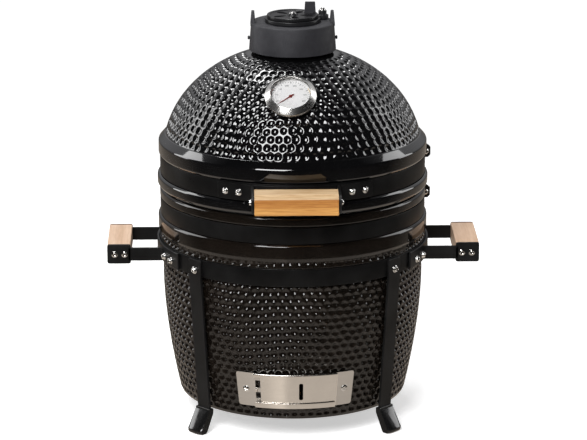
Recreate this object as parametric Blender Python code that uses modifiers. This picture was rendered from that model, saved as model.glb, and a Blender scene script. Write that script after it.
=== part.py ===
"""Compact kamado ceramic grill on a four-legged cradle. Metres, +Z up, the front faces -Y, ground at z = 0."""

import math

import bmesh
import bpy
from mathutils import Matrix, Vector
from mathutils.geometry import convex_hull_2d

GAP = 0.0003  # running gap between touching pieces
TURN_STEPS = 40  # sides of the large turned pieces

# ceramic body, z of each feature
FLOOR_Z, BASE_RIM_Z, DOME_RIM_Z = 0.030, 0.3430, 0.3462
LOWER_BAND_Z = (0.3032, 0.3278)
UPPER_BAND_Z = (0.3650, 0.3916)
BAND_R = (0.1950, 0.1965)
BAND_SPLIT = 105.0  # degrees round from the front, towards +X
NECK_R, NECK_TOP_Z, FLUE_R = 0.0555, 0.5750, 0.0400
DOME_CENTRE_Z = 0.3915
DOME_OUTER = (0.192, 0.159)  # half width and half height of the dome's curve
DOME_INNER = (0.172, 0.139)

# cradle
RING_R, RING_Z = (0.1945, 0.1980), (0.2400, 0.2664)
STRAP_R, STRAP_Z = (0.1984, 0.2020), (0.2405, 0.2655)
BRACKET_BOLT_AT, BRACKET_BOLT_Z = 63.0, 0.2505
ARM_Y, ARM_T = 0.0562, 0.004
GRIP_X, GRIP_HALF = (0.2402, 0.2747), 0.0538
GRIP_BOLT_X = (0.2494, 0.2640)
LEG_PATH = ((0.2003, 0.2660), (0.2003, 0.2390), (0.1840, 0.0310), (0.2005, 0.0075))
LEG_W, LEG_T = 0.025, 0.004
LEG_TURNS = {"front_left": -46, "front_right": 46, "rear_left": -134, "rear_right": 134}

# draft door: cone of the body wall behind it
DOOR_Z = (0.0490, 0.1040)
DOOR_WALL_R, DOOR_SLOPE = 0.1725, 0.191
FRAME_HALF, RAIL_HALF = 27.8, 18.9

# hinge at the back, thermometer and damper on the dome
PIN_Y, PIN_Z, PIN_R = 0.2455, 0.3450, 0.0040
GAUGE_TILT, GAUGE_TURN = 51.6, -2.5
GAUGE_R, GAUGE_Z = 0.136, 0.504
GAUGE_REST = 128.0  # turn of the pointer about the dial's normal, from straight up
PIVOT_XY = (0.0445, 0.0195)

LOOKS = {
    "black_glaze": ((0.012, 0.012, 0.013), 0.10, 0.0),
    "brown_glaze": ((0.022, 0.016, 0.013), 0.14, 0.0),
    "bare_ceramic": ((0.62, 0.52, 0.42), 0.85, 0.0),
    "felt": ((0.10, 0.10, 0.10), 0.95, 0.0),
    "black_steel": ((0.02, 0.02, 0.022), 0.38, 0.3),
    "stainless": ((0.72, 0.69, 0.65), 0.28, 1.0),
    "bright_bolt": ((0.80, 0.80, 0.80), 0.18, 1.0),
    "iron": ((0.045, 0.045, 0.05), 0.65, 0.6),
    "bamboo": ((0.62, 0.38, 0.17), 0.55, 0.0),
    "pale_wood": ((0.72, 0.52, 0.38), 0.6, 0.0),
    "vinyl": ((0.015, 0.015, 0.015), 0.25, 0.0),
    "dial_white": ((0.85, 0.85, 0.83), 0.5, 0.0),
    "needle_red": ((0.55, 0.04, 0.03), 0.4, 0.0),
    "glass": ((0.9, 0.93, 0.95), 0.03, 0.0),
}

for old in list(bpy.data.objects):
    bpy.data.objects.remove(old)
PARTS = bpy.data.collections.new("kamado_grill")
TOOLS = bpy.data.collections.new("kamado_grill_cutters")
for group in (PARTS, TOOLS):
    bpy.context.scene.collection.children.link(group)


def look_of(name):
    found = bpy.data.materials.get(name)
    if found:
        return found
    colour, roughness, metallic = LOOKS[name]
    made = bpy.data.materials.new(name)
    made.use_nodes = True
    shader = made.node_tree.nodes["Principled BSDF"]
    shader.inputs["Base Color"].default_value = (*colour, 1.0)
    shader.inputs["Roughness"].default_value = roughness
    shader.inputs["Metallic"].default_value = metallic
    made.diffuse_color = (*colour, 1.0)
    return made


def turn(degrees, axis="Z"):
    return Matrix.Rotation(math.radians(degrees), 4, axis)


def facing(at, direction):
    """Places a piece made along +Z so that its +Z points this way."""
    return Matrix.Translation(at) @ Vector(direction).to_track_quat("Z", "Y").to_matrix().to_4x4()


def polar(r, degrees, z):
    """Point at radius r, this many degrees round from the front towards +X."""
    a = math.radians(degrees)
    return Vector((r * math.sin(a), -r * math.cos(a), z))


def tool(bm, place=None):
    """A shape that is later named as a part, or kept as a cutter."""
    bmesh.ops.recalc_face_normals(bm, faces=bm.faces)
    if bm.calc_volume(signed=True) < 0:
        bmesh.ops.reverse_faces(bm, faces=bm.faces)
    if place:
        bm.transform(place)
    mesh = bpy.data.meshes.new("shape")
    bm.to_mesh(mesh)
    bm.free()
    obj = bpy.data.objects.new("shape", mesh)
    TOOLS.objects.link(obj)
    return obj


def block(low, high, place=None, bevel=0.0):
    bm = bmesh.new()
    bmesh.ops.create_cube(bm, size=1.0)
    size = [b - a for a, b in zip(low, high)]
    middle = [(a + b) / 2 for a, b in zip(low, high)]
    bm.transform(Matrix.Translation(middle) @ Matrix.Diagonal((*size, 1.0)))
    if bevel:
        bmesh.ops.bevel(bm, geom=list(bm.edges), offset=bevel, segments=1, affect="EDGES")
    return tool(bm, place)


def slab(outline, low, high, place=None):
    """An outline in the YZ plane, extruded along X."""
    bm = bmesh.new()
    face = bm.faces.new([bm.verts.new((low, y, z)) for y, z in outline])
    grown = bmesh.ops.extrude_face_region(bm, geom=[face])
    moved = [v for v in grown["geom"] if isinstance(v, bmesh.types.BMVert)]
    bmesh.ops.translate(bm, verts=moved, vec=(high - low, 0, 0))
    return tool(bm, place)


def drum(r, low, high, sides=12, place=None, r_top=None):
    bm = bmesh.new()
    bmesh.ops.create_cone(
        bm, cap_ends=True, segments=sides, radius1=r, radius2=r if r_top is None else r_top,
        depth=high - low, matrix=Matrix.Translation((0, 0, (low + high) / 2)),
    )
    return tool(bm, place)


def lathe(profile, steps=TURN_STEPS, place=None, ring=True):
    """Turns an (r, z) profile round Z. It runs down the outer side; a ring's profile closes on itself."""
    mesh = bpy.data.meshes.new("shape")
    count = len(profile)
    edges = [(i, i + 1) for i in range(count - 1)] + ([(count - 1, 0)] if ring else [])
    mesh.from_pydata([(r, 0, z) for r, z in profile], edges, [])
    obj = bpy.data.objects.new("shape", mesh)
    TOOLS.objects.link(obj)
    screw = obj.modifiers.new("Screw", "SCREW")
    screw.steps = screw.render_steps = steps
    screw.use_merge_vertices = True
    screw.merge_threshold = 0.0001
    if place:
        obj.matrix_world = place
    return obj


def sector(profile, start, end, steps, place=None):
    """Part of a turn: an (r, z) outline spun between two angles, closed at both ends."""
    bm = bmesh.new()
    face = bm.faces.new([bm.verts.new(polar(r, start, z)) for r, z in profile])
    bmesh.ops.spin(
        bm, geom=[face, *face.edges, *face.verts], cent=(0, 0, 0), axis=(0, 0, 1),
        angle=math.radians(end - start), steps=steps, use_duplicate=False,
    )
    bmesh.ops.remove_doubles(bm, verts=bm.verts, dist=1e-6)
    return tool(bm, place)


def ribbon(path, thickness):
    """Outline of a flat bar bent along a path of (r, z), as (y, z) with the front at -Y."""
    sides = ([], [])
    for i, (r, z) in enumerate(path):
        before = Vector(path[i]) - Vector(path[i - 1]) if i else None
        after = Vector(path[i + 1]) - Vector(path[i]) if i + 1 < len(path) else None
        directions = [d.normalized() for d in (before, after) if d]
        along = sum(directions, Vector((0, 0))).normalized()
        reach = thickness / 2 / max(0.3, along.dot(directions[0]))
        normal = Vector((along.y, -along.x)) * reach
        sides[0].append((-(r + normal.x), z + normal.y))
        sides[1].append((-(r - normal.x), z - normal.y))
    return sides[0] + sides[1][::-1]


def part(name, look, shape, joins=(), cuts=()):
    """Names a shape as a sub-part and gives it its Booleans."""
    shape.name = shape.data.name = name
    TOOLS.objects.unlink(shape)
    PARTS.objects.link(shape)
    shape.data.materials.clear()
    own = look_of(look).copy()
    own.name = name
    shape.data.materials.append(own)
    for operation, others in (("UNION", joins), ("DIFFERENCE", cuts)):
        for other in others:
            change = shape.modifiers.new(operation.title(), "BOOLEAN")
            change.operation = operation
            change.solver = "EXACT"
            change.object = other
            other.hide_render = True
            other.display_type = "WIRE"
    return shape


def bolt(name, at, direction, shank_r, length, head_r, head_h, look="bright_bolt", nut=0.0, sides=8):
    """Domed head on the seat at `at`, shank going back into the work, and a nut at the far end if it has one."""
    profile = [(0, head_h), (head_r * 0.65, head_h), (head_r, head_h * 0.45), (head_r, 0), (shank_r, 0)]
    if nut:
        profile += [(shank_r, -length), (head_r, -length), (head_r, -length - nut), (0, -length - nut)]
    else:
        profile += [(shank_r, -length), (0, -length)]
    return part(name, look, lathe(profile, sides, facing(at, direction), ring=False))


def hole(at, direction, r, depth, above=0.004, sides=12):
    return drum(r, -depth, above, sides, facing(at, direction))


def oval(half, z):
    """Radius of the dome's curve at this height."""
    return half[0] * math.sqrt(1 - ((z - DOME_CENTRE_Z) / half[1]) ** 2)


def wall_r(z, out=0.0):
    """Radius of the body wall behind the draft door, moved out by this much."""
    return DOOR_WALL_R + DOOR_SLOPE * (z - DOOR_Z[0]) + out


def build_ceramic():
    draft_hole = block((-0.0400, -0.2000, 0.0600), (0.0400, -0.0900, 0.0950))
    screw_holes = [hole(*draft_screw_seat(side), 0.0024, 0.0150) for side in (-1, 1)]
    base = [
        (0, 0.0520), (0.1480, 0.0520), (0.1560, 0.0640), (0.1650, 0.1200), (0.1735, 0.2300),
        (0.1745, 0.3410), (0.1765, BASE_RIM_Z), (0.1945, BASE_RIM_Z), (0.1970, 0.3405), (0.1970, 0.3288),
        (0.1940, 0.3284), (0.1940, 0.3026), (0.1985, 0.3020), (0.1997, 0.2985), (0.1997, 0.2820),
        (0.1975, 0.2755), (0.1975, 0.2668), (0.1930, 0.2668), (0.1930, 0.2105), (0.1918, 0.1800),
        (0.1890, 0.1490), (0.1853, 0.1200), (0.1802, 0.0886), (0.1758, 0.0650), (0.1716, 0.0450),
        (0.1680, 0.0350), (0.1600, FLOOR_Z), (0, FLOOR_Z),
    ]
    part("base_shell", "brown_glaze", lathe(base, ring=False), cuts=[draft_hole, *screw_holes])

    outer = [(oval(DOME_OUTER, z), z) for z in (0.5410, 0.5300, 0.5140, 0.4940, 0.4700, 0.4440, 0.4210)]
    inner = [(oval(DOME_INNER, z), z) for z in (0.3915, 0.4400, 0.4800, 0.5080, 0.5265)]
    dome = [
        (NECK_R, NECK_TOP_Z), (NECK_R, 0.5435), *outer, (0.1950, 0.4172), (0.1985, 0.4110), (0.1985, 0.3945),
        (0.1972, 0.3926), (0.1940, 0.3922), (0.1940, 0.3644), (0.1985, 0.3640), (0.2004, 0.3612),
        (0.2004, 0.3500), (0.1985, DOME_RIM_Z), (0.1780, DOME_RIM_Z), (0.1740, 0.3485), *inner,
        (FLUE_R, NECK_TOP_Z),
    ]
    at, out = gauge_seat()
    stem_hole = hole(at, out, 0.0068, 0.0600, 0.0200)
    part("dome_shell", "black_glaze", lathe(dome), cuts=[stem_hole])

    firebox = [
        (0.1580, 0.2900), (0.1580, 0.2300), (0.1500, 0.1400), (0.1380, 0.0526), (0.1160, 0.0526),
        (0.1060, 0.0700), (0.1060, 0.1120), (0.1200, 0.1120), (0.1300, 0.1500), (0.1420, 0.2300), (0.1420, 0.2900),
    ]
    air_hole = block((-0.0400, -0.2000, 0.0600), (0.0400, -0.0900, 0.0950))
    part("firebox", "bare_ceramic", lathe(firebox, 32), cuts=[air_hole])
    ring = [(0.1620, 0.3330), (0.1620, 0.2950), (0.1570, 0.2904), (0.1400, 0.2904), (0.1400, 0.3330)]
    part("fire_ring", "bare_ceramic", lathe(ring, 32))
    gasket = [(0.1915, 0.3458), (0.1915, 0.3434), (0.1795, 0.3434), (0.1795, 0.3458)]
    part("rim_gasket", "felt", lathe(gasket))


def build_grates():
    plate = drum(0.1160, 0.1124, 0.1184, 32)
    slots = []
    for i in range(-4, 5):
        x = i * 0.0225
        half = math.sqrt(0.1030**2 - x * x)
        for low, high in ((-half, -0.006), (0.006, half)):
            slots.append(block((x - 0.006, low, 0.1100), (x + 0.006, high, 0.1210)))
    part("charcoal_grate", "iron", plate, cuts=slots)

    rim = lathe([(0.1590, 0.3392), (0.1590, 0.3334), (0.1535, 0.3334), (0.1535, 0.3392)], 32)
    bars = []
    for i in range(-5, 6):
        x = i * 0.0255
        half = math.sqrt(0.1562**2 - x * x)
        bars.append(block((x - 0.0021, -half, 0.3342), (x + 0.0021, half, 0.3384)))
    for y in (-0.065, 0.065):
        half = math.sqrt(0.1562**2 - y * y)
        bars.append(block((-half, y - 0.0025, 0.3338), (half, y + 0.0025, 0.3368)))
    part("cooking_grate", "stainless", rim, joins=bars)


def build_band(name, z_range, cuts=()):
    """Clamp band: a split ring with an ear bent out at each end, drawn together by one bolt."""
    low, high = z_range
    middle = (low + high) / 2
    profile = [(BAND_R[0], low), (BAND_R[1], low), (BAND_R[1], high), (BAND_R[0], high)]
    ring = sector(profile, BAND_SPLIT + 0.6, BAND_SPLIT + 359.4, 48)
    place = turn(BAND_SPLIT)
    ears = [
        slab(
            [(-0.1955, middle - 0.010), (-0.2115, middle - 0.010), (-0.2150, middle - 0.0065),
             (-0.2150, middle + 0.0065), (-0.2115, middle + 0.010), (-0.1955, middle + 0.010)],
            min(s * 0.0015, s * 0.0040), max(s * 0.0015, s * 0.0040), place,
        )
        for s in (-1, 1)
    ]
    towards_front = -(place @ Vector((1, 0, 0)))
    seat = polar(0.2072, BAND_SPLIT, middle) + towards_front * 0.0043
    bore = hole(seat, towards_front, 0.0032, 0.0140)
    part(name, "black_steel", ring, joins=ears, cuts=[bore, *cuts])
    bolt(name + "_bolt", seat, towards_front, 0.0028, 0.0086, 0.0048, 0.0032, nut=0.0030)


def build_front_handle():
    low, high = 0.3660, 0.3900
    middle = (low + high) / 2
    strip = sector([(0.1974, low), (0.2002, low), (0.2002, high), (0.1974, high)], -33.6, 33.6, 14)
    ear = [(-0.1885, low), (-0.2540, low - 0.0015), (-0.2580, low + 0.0040), (-0.2580, high - 0.0040),
           (-0.2540, high + 0.0005), (-0.1885, high)]
    ears = [slab(ear, min(s * 0.0600, s * 0.0636), max(s * 0.0600, s * 0.0636)) for s in (-1, 1)]
    rod_hole = hole((0.070, -0.2410, middle), (1, 0, 0), 0.0029, 0.140, 0.002)
    bolt_holes = []
    for side, label in ((-1, "left"), (1, "right")):
        for degrees, which in ((23.9, "inner"), (30.0, "outer")):
            out = polar(1, side * degrees, 0)
            seat = polar(0.2006, side * degrees, middle)
            bolt_holes.append(hole(seat, out, 0.0029, 0.0064))
            bolt(f"bracket_bolt_{label}_{which}", seat, out, 0.0025, 0.0058, 0.0047, 0.0034)
    part("front_handle_bracket", "black_steel", strip, joins=ears, cuts=[rod_hole, *bolt_holes])
    grip = [(-0.2235, 0.3650), (-0.2255, 0.3630), (-0.2580, 0.3630), (-0.2600, 0.3650), (-0.2600, 0.3870),
            (-0.2545, 0.3930), (-0.2255, 0.3930), (-0.2235, 0.3910)]
    own_hole = hole((0.070, -0.2410, middle), (1, 0, 0), 0.0029, 0.140, 0.002)
    part("front_grip", "bamboo", slab(grip, -0.0596, 0.0596), cuts=[own_hole])
    bolt("front_grip_bolt", (0.0639, -0.2410, middle), (1, 0, 0), 0.0025, 0.1278, 0.0048, 0.0028, nut=0.0028)
    build_band("upper_band", UPPER_BAND_Z, bolt_holes)


def ring_bolts():
    """Seat and direction of the bolt that joins each strap's end to the cradle ring."""
    for x_side, x_label in ((-1, "left"), (1, "right")):
        for degrees, y_label in ((BRACKET_BOLT_AT, "front"), (180 - BRACKET_BOLT_AT, "rear")):
            at = x_side * degrees
            yield f"{y_label}_{x_label}", polar(STRAP_R[1] + GAP, at, BRACKET_BOLT_Z), polar(1, at, 0)


def leg_bolts():
    for label, degrees in LEG_TURNS.items():
        yield label, polar(0.2023 + GAP, degrees, 0.2500), polar(1, degrees, 0)


def build_cradle():
    strap_holes, strap_seats = {}, list(ring_bolts())
    for label, seat, out in strap_seats:
        strap_holes[label] = hole(seat, out, 0.0029, 0.0100)
        bolt("ring_bolt_" + label, seat, out, 0.0025, 0.0084, 0.0050, 0.0046)
    leg_holes = {}
    for label, seat, out in leg_bolts():
        leg_holes[label] = hole(seat, out, 0.0034, 0.0100)
        bolt("leg_bolt_" + label, seat, out, 0.0030, 0.0090, 0.0055, 0.0040)
    low, high = RING_Z
    section = [(RING_R[0], low), (RING_R[1], low), (RING_R[1], high), (RING_R[0], high)]
    for label, middle in (("front", 0), ("rear", 180)):
        cuts = [cutter for holes in (strap_holes, leg_holes) for where, cutter in holes.items() if label in where]
        part("cradle_ring_" + label, "black_steel", sector(section, middle - 87.5, middle + 87.5, 25), cuts=cuts)

    ribbon_outline = ribbon(LEG_PATH, LEG_T)
    pocket_outline = ribbon(LEG_PATH[1:], LEG_T + 2 * GAP)
    sleeve = [
        (-0.1796, 0.0360), (-0.1888, 0.0362), (-0.1884, 0.0338), (-0.2050, 0.0102), (-0.2077, 0.0062),
        (-0.2075, 0.0020), (-0.2057, 0.0), (-0.1945, 0.0), (-0.1918, 0.0034), (-0.1798, 0.0285),
    ]
    for label, degrees in LEG_TURNS.items():
        place = turn(degrees)
        leg = slab(ribbon_outline, -LEG_W / 2, LEG_W / 2, place)
        part("leg_" + label, "black_steel", leg, cuts=[leg_holes[label]])
        pocket = slab(pocket_outline, -LEG_W / 2 - GAP, LEG_W / 2 + GAP, place)
        tip = block((-LEG_W / 2 - GAP, -0.2030, 0.0062), (LEG_W / 2 + GAP, -0.2000, 0.0084), place)
        part("foot_sleeve_" + label, "vinyl", slab(sleeve, -0.0145, 0.0145, place), cuts=[pocket, tip])
    build_side_handles(strap_holes)


def build_side_handles(strap_holes):
    plate = [(0.2360, 0.2435), (0.2360, 0.2715), (0.2395, 0.2750), (0.2620, 0.2750), (0.2655, 0.2715),
             (0.2655, 0.2435), (0.2620, 0.2400), (0.2395, 0.2400)]
    section = [(STRAP_R[0], STRAP_Z[0]), (STRAP_R[1], STRAP_Z[0]), (STRAP_R[1], STRAP_Z[1]), (STRAP_R[0], STRAP_Z[1])]
    for side, label in ((-1, "left"), (1, "right")):
        start = 57.5 if side > 0 else -122.5
        joins = []
        for end in (-1, 1):
            near, far = sorted((end * (ARM_Y - ARM_T / 2), end * (ARM_Y + ARM_T / 2)))
            x_low, x_high = sorted((side * 0.1928, side * 0.2440))
            joins.append(block((x_low, near, 0.2405), (x_high, far, 0.2605)))
            joins.append(end_plate([(side * x, z) for z, x in plate], near, far))
        bores = [hole((side * x, -0.062, 0.2507), (0, -1, 0), 0.0029, 0.124, 0.002) for x in GRIP_BOLT_X]
        cuts = [cutter for where, cutter in strap_holes.items() if label in where]
        strap = sector(section, start, start + 65, 13)
        part("side_bracket_" + label, "black_steel", strap, joins=joins, cuts=[*cuts, *bores])
        x_low, x_high = sorted((side * GRIP_X[0], side * GRIP_X[1]))
        grip = block((x_low, -GRIP_HALF, 0.2363), (x_high, GRIP_HALF, 0.2656), bevel=0.0015)
        own = [hole((side * x, -0.062, 0.2507), (0, -1, 0), 0.0029, 0.124, 0.002) for x in GRIP_BOLT_X]
        part("side_grip_" + label, "pale_wood", grip, cuts=own)
        for x, which in zip(GRIP_BOLT_X, ("inner", "outer")):
            bolt(f"side_grip_bolt_{label}_{which}", (side * x, -0.0585, 0.2507), (0, -1, 0),
                 0.0025, 0.1170, 0.0045, 0.0030, nut=0.0030)


def end_plate(outline, near, far):
    """A plate that lies in the XZ plane, between two values of y."""
    bm = bmesh.new()
    face = bm.faces.new([bm.verts.new((x, near, z)) for x, z in outline])
    grown = bmesh.ops.extrude_face_region(bm, geom=[face])
    moved = [v for v in grown["geom"] if isinstance(v, bmesh.types.BMVert)]
    bmesh.ops.translate(bm, verts=moved, vec=(0, far - near, 0))
    return tool(bm)


def draft_screw_seat(side):
    """Point on the frame's flange, and the direction out of the wall there."""
    z = 0.0765
    out = polar(1, side * 23.4, -DOOR_SLOPE).normalized()
    return polar(wall_r(z, 0.0023), side * 23.4, z), out


def build_draft_door():
    low, high = DOOR_Z
    plate = [(wall_r(low, 0.0008), low), (wall_r(low, 0.0020), low), (wall_r(high, 0.0020), high),
             (wall_r(high, 0.0008), high)]
    top = [(wall_r(high, 0.0015), high), (wall_r(high, 0.0068), high), (wall_r(0.097, 0.0068), 0.097),
           (wall_r(0.097, 0.0056), 0.097), (wall_r(0.1022, 0.0056), 0.1022), (wall_r(0.1022, 0.0015), 0.1022)]
    bottom = [(wall_r(low, 0.0015), low), (wall_r(low, 0.0068), low), (wall_r(0.058, 0.0068), 0.058),
              (wall_r(0.058, 0.0056), 0.058), (wall_r(0.0508, 0.0056), 0.0508), (wall_r(0.0508, 0.0015), 0.0508)]
    stop = [(wall_r(0.0735, 0.0015), 0.0735), (wall_r(0.0735, 0.0052), 0.0735), (wall_r(0.0795, 0.0052), 0.0795),
            (wall_r(0.0795, 0.0015), 0.0795)]
    joins = [sector(top, -RAIL_HALF, RAIL_HALF, 8), sector(bottom, -RAIL_HALF, RAIL_HALF, 8),
             sector(stop, -18.9, -17.7, 1)]
    window = block((-0.0395, -0.2000, 0.0600), (0.0395, -0.1500, 0.0950))
    # two small openings beside the stop, which the closed door leaves uncovered
    notches = [
        sector([(wall_r(a), a), (wall_r(a, 0.0040), a), (wall_r(b, 0.0040), b), (wall_r(b), b)], -18.7, -16.3, 1)
        for a, b in ((0.0630, 0.0730), (0.0800, 0.0920))
    ]
    holes = [hole(*draft_screw_seat(side), 0.0024, 0.0060) for side in (-1, 1)]
    part("draft_frame", "stainless", sector(plate, -FRAME_HALF, FRAME_HALF, 12), joins=joins,
         cuts=[window, *holes, *notches])
    door = [(wall_r(0.0514, 0.0040), 0.0514), (wall_r(0.0514, 0.0050), 0.0514), (wall_r(0.1016, 0.0050), 0.1016),
            (wall_r(0.1016, 0.0040), 0.1016)]
    slot = block((0.0052, -0.2000, 0.0630), (0.0114, -0.1600, 0.0900))
    part("draft_door", "stainless", sector(door, -16.0, 19.5, 8), cuts=[slot])
    for side, label in ((-1, "left"), (1, "right")):
        seat, out = draft_screw_seat(side)
        bolt("draft_screw_" + label, seat, out, 0.0020, 0.0140, 0.0048, 0.0014)


def lug(points, sides=16):
    """Outline round the hinge pin and some corners on the band, in the YZ plane."""
    circle = [
        (PIN_Y + 0.0115 * math.cos(2 * math.pi * i / sides), PIN_Z + 0.0115 * math.sin(2 * math.pi * i / sides))
        for i in range(sides)
    ]
    cloud = [*points, *circle]
    hull = [cloud[i] for i in convex_hull_2d(cloud)]
    middle = sum((Vector(p) for p in hull), Vector((0, 0))) / len(hull)
    return sorted(hull, key=lambda p: math.atan2(p[1] - middle.y, p[0] - middle.x))


def build_hinge():
    for name, z_range, half, ear_x, corners in (
        ("hinge_lower_bracket", (0.3045, 0.3272), 13, (0.0245, 0.0275), [(0.1985, 0.3052), (0.1985, 0.3264)]),
        ("hinge_upper_bracket", (0.3664, 0.3900), 12, (0.0180, 0.0210), [(0.1988, 0.3681), (0.1988, 0.3887)]),
    ):
        low, high = z_range
        strip = sector([(0.1972, low), (0.2002, low), (0.2002, high), (0.1972, high)], 180 - half, 180 + half, 6)
        outline = lug(corners)
        ears = [slab(outline, min(s * ear_x[0], s * ear_x[1]), max(s * ear_x[0], s * ear_x[1])) for s in (-1, 1)]
        bore = hole((0.04, PIN_Y, PIN_Z), (1, 0, 0), PIN_R + 0.0004, 0.08, 0.001, 16)
        part(name, "black_steel", strip, joins=ears, cuts=[bore])
    bolt("hinge_pin", (0.0279, PIN_Y, PIN_Z), (1, 0, 0), PIN_R, 0.0558, 0.0068, 0.0036, nut=0.0036, sides=16)
    build_spring()


def build_spring():
    """Torsion spring on the pin: a coil with one tail towards each bracket."""
    turns, per_turn, radius, half = 5, 8, 0.0074, 0.0135
    points = []
    count = turns * per_turn
    for i in range(count + 1):
        a = math.pi / 2 + 2 * math.pi * i / per_turn
        points.append((-half + 2 * half * i / count, PIN_Y + radius * math.cos(a), PIN_Z + radius * math.sin(a)))
    first = (-half, PIN_Y - 0.017, PIN_Z + radius)
    last = (half, PIN_Y - 0.017, PIN_Z + radius + 0.0015)
    curve = bpy.data.curves.new("spring", "CURVE")
    curve.dimensions = "3D"
    curve.bevel_depth = 0.0011
    curve.bevel_resolution = 2
    curve.use_fill_caps = True
    spline = curve.splines.new("POLY")
    path = [first, *points, last]
    spline.points.add(len(path) - 1)
    for point, xyz in zip(spline.points, path):
        point.co = (*xyz, 1)
    wire = bpy.data.objects.new("spring", curve)
    TOOLS.objects.link(wire)
    bpy.context.view_layer.update()
    mesh = bpy.data.meshes.new_from_object(wire.evaluated_get(bpy.context.evaluated_depsgraph_get()))
    bpy.data.objects.remove(wire)
    bm = bmesh.new()
    bm.from_mesh(mesh)
    bmesh.ops.remove_doubles(bm, verts=bm.verts, dist=1e-6)
    part("hinge_spring", "stainless", tool(bm))


def gauge_seat():
    """Centre of the thermometer on the dome, and the way its face looks."""
    tilt = math.radians(GAUGE_TILT)
    level = polar(math.cos(tilt), GAUGE_TURN, 0)
    return polar(GAUGE_R, GAUGE_TURN, GAUGE_Z), Vector((level.x, level.y, math.sin(tilt)))


def build_thermometer():
    at, out = gauge_seat()
    place = facing(at, out)
    case = [
        (0, 0.0022), (0.0330, 0.0022), (0.0330, 0.0096), (0.0285, 0.0126), (0.0291, 0.0138), (0.0371, 0.0070),
        (0.0375, 0.0045), (0.0352, 0.0007), (0.0060, 0.0007), (0.0060, -0.0290), (0.0028, -0.0300),
        (0.0028, -0.0900), (0, -0.0905),
    ]
    part("thermometer_case", "stainless", lathe(case, 24, place, ring=False))
    dial = [(0.0324, 0.0034), (0.0324, 0.0026), (0.0020, 0.0026), (0.0020, 0.0034)]
    part("thermometer_dial", "dial_white", lathe(dial, 24, place))
    part("thermometer_lens", "glass", drum(0.0322, 0.0072, 0.0088, 32, place))
    hub = drum(0.0026, 0.0040, 0.0054, 12, place)
    shaft = drum(0.0013, 0.0026, 0.0045, 10, place)
    # the pointer rests at the cold end of the scale, down and to the left
    point = place @ turn(GAUGE_REST)
    pointer = slab([(-0.0060, 0.0043), (0.0225, 0.0043), (0.0225, 0.0051), (-0.0060, 0.0051)], -0.0008, 0.0008, point)
    part("thermometer_needle", "needle_red", hub, joins=[shaft, pointer])


def build_damper():
    shell = [
        (0.0608, 0.5878), (0.0640, 0.5466), (0.0572, 0.5466), (0.0572, 0.5764), (0.0300, 0.5764), (0.0300, 0.5878),
    ]
    ears = []
    for side in (-1, 1):
        frustum = drum(0.0170, 0.5820, 0.6040, 4, None, 0.0100)
        frustum.data.transform(turn(45))
        frustum.data.transform(Matrix.Translation((side * 0.0582, 0, 0)) @ Matrix.Diagonal((0.33, 1, 1, 1)))
        ears.append(frustum)
    pivot = Vector((*PIVOT_XY, 0.6008))
    screw_hole = hole(pivot, (0, 0, 1), 0.0024, 0.0235, 0.004)
    part("vent_cap", "iron", lathe(shell, 32), joins=ears, cuts=[screw_hole])
    bolt("vent_pivot_screw", pivot, (0, 0, 1), 0.0021, 0.0200, 0.0052, 0.0034)

    plate = drum(0.0410, 0.5882, 0.5938, 32)
    at_pivot = Matrix.Translation((*PIVOT_XY, 0))
    eye = drum(0.0090, 0.5882, 0.5938, 16, at_pivot)
    post = drum(0.0062, 0.5900, 0.6004, 16, at_pivot)
    eye_hole = hole(pivot, (0, 0, 1), 0.0026, 0.0150, 0.004)
    part("vent_slide_plate", "iron", plate, joins=[eye, post], cuts=[eye_hole, drum(0.0046, 0.580, 0.596, 16), *petals()])

    wheel = drum(0.0378, 0.5941, 0.5992, 32)
    dish = drum(0.0330, 0.5974, 0.6010, 32)
    wheel = trimmed(wheel, dish)
    boss = drum(0.0042, 0.5900, 0.5960, 16)
    hub = drum(0.0080, 0.5960, 0.6002, 16)
    tab = [(-0.0086, 0.5960), (0.0086, 0.5960), (0.0075, 0.6147), (-0.0075, 0.6147)]
    knob = slab(tab, -0.0020, 0.0020, Matrix.Translation((0.0260, 0.0130, 0)) @ turn(90))
    part("vent_daisy_wheel", "iron", wheel, joins=[boss, hub, knob], cuts=petals())


def trimmed(shape, cutter):
    """A helper shape with another one cut out of it before it joins a sub-part."""
    change = shape.modifiers.new("Dish", "BOOLEAN")
    change.operation, change.solver, change.object = "DIFFERENCE", "EXACT", cutter
    return shape


def petals():
    """Five long holes round the middle, for the plate and for the wheel over it."""
    made = []
    for i in range(5):
        place = turn(26.6 + 36 + i * 72) @ Matrix.Translation((0.0205, 0, 0)) @ Matrix.Diagonal((1.5, 1, 1, 1))
        made.append(drum(0.0066, 0.580, 0.602, 10, place))
    return made


build_ceramic()
build_grates()
build_band("lower_band", LOWER_BAND_Z)
build_front_handle()
build_cradle()
build_draft_door()
build_hinge()
build_thermometer()
build_damper()
for helper in TOOLS.objects:
    helper.hide_render = True
    helper.display_type = "WIRE"
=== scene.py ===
"""Compact kamado ceramic grill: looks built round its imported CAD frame, on a pale studio floor."""

import math

import bmesh
import bpy
import numpy as np
from mathutils import Matrix, Vector


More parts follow.
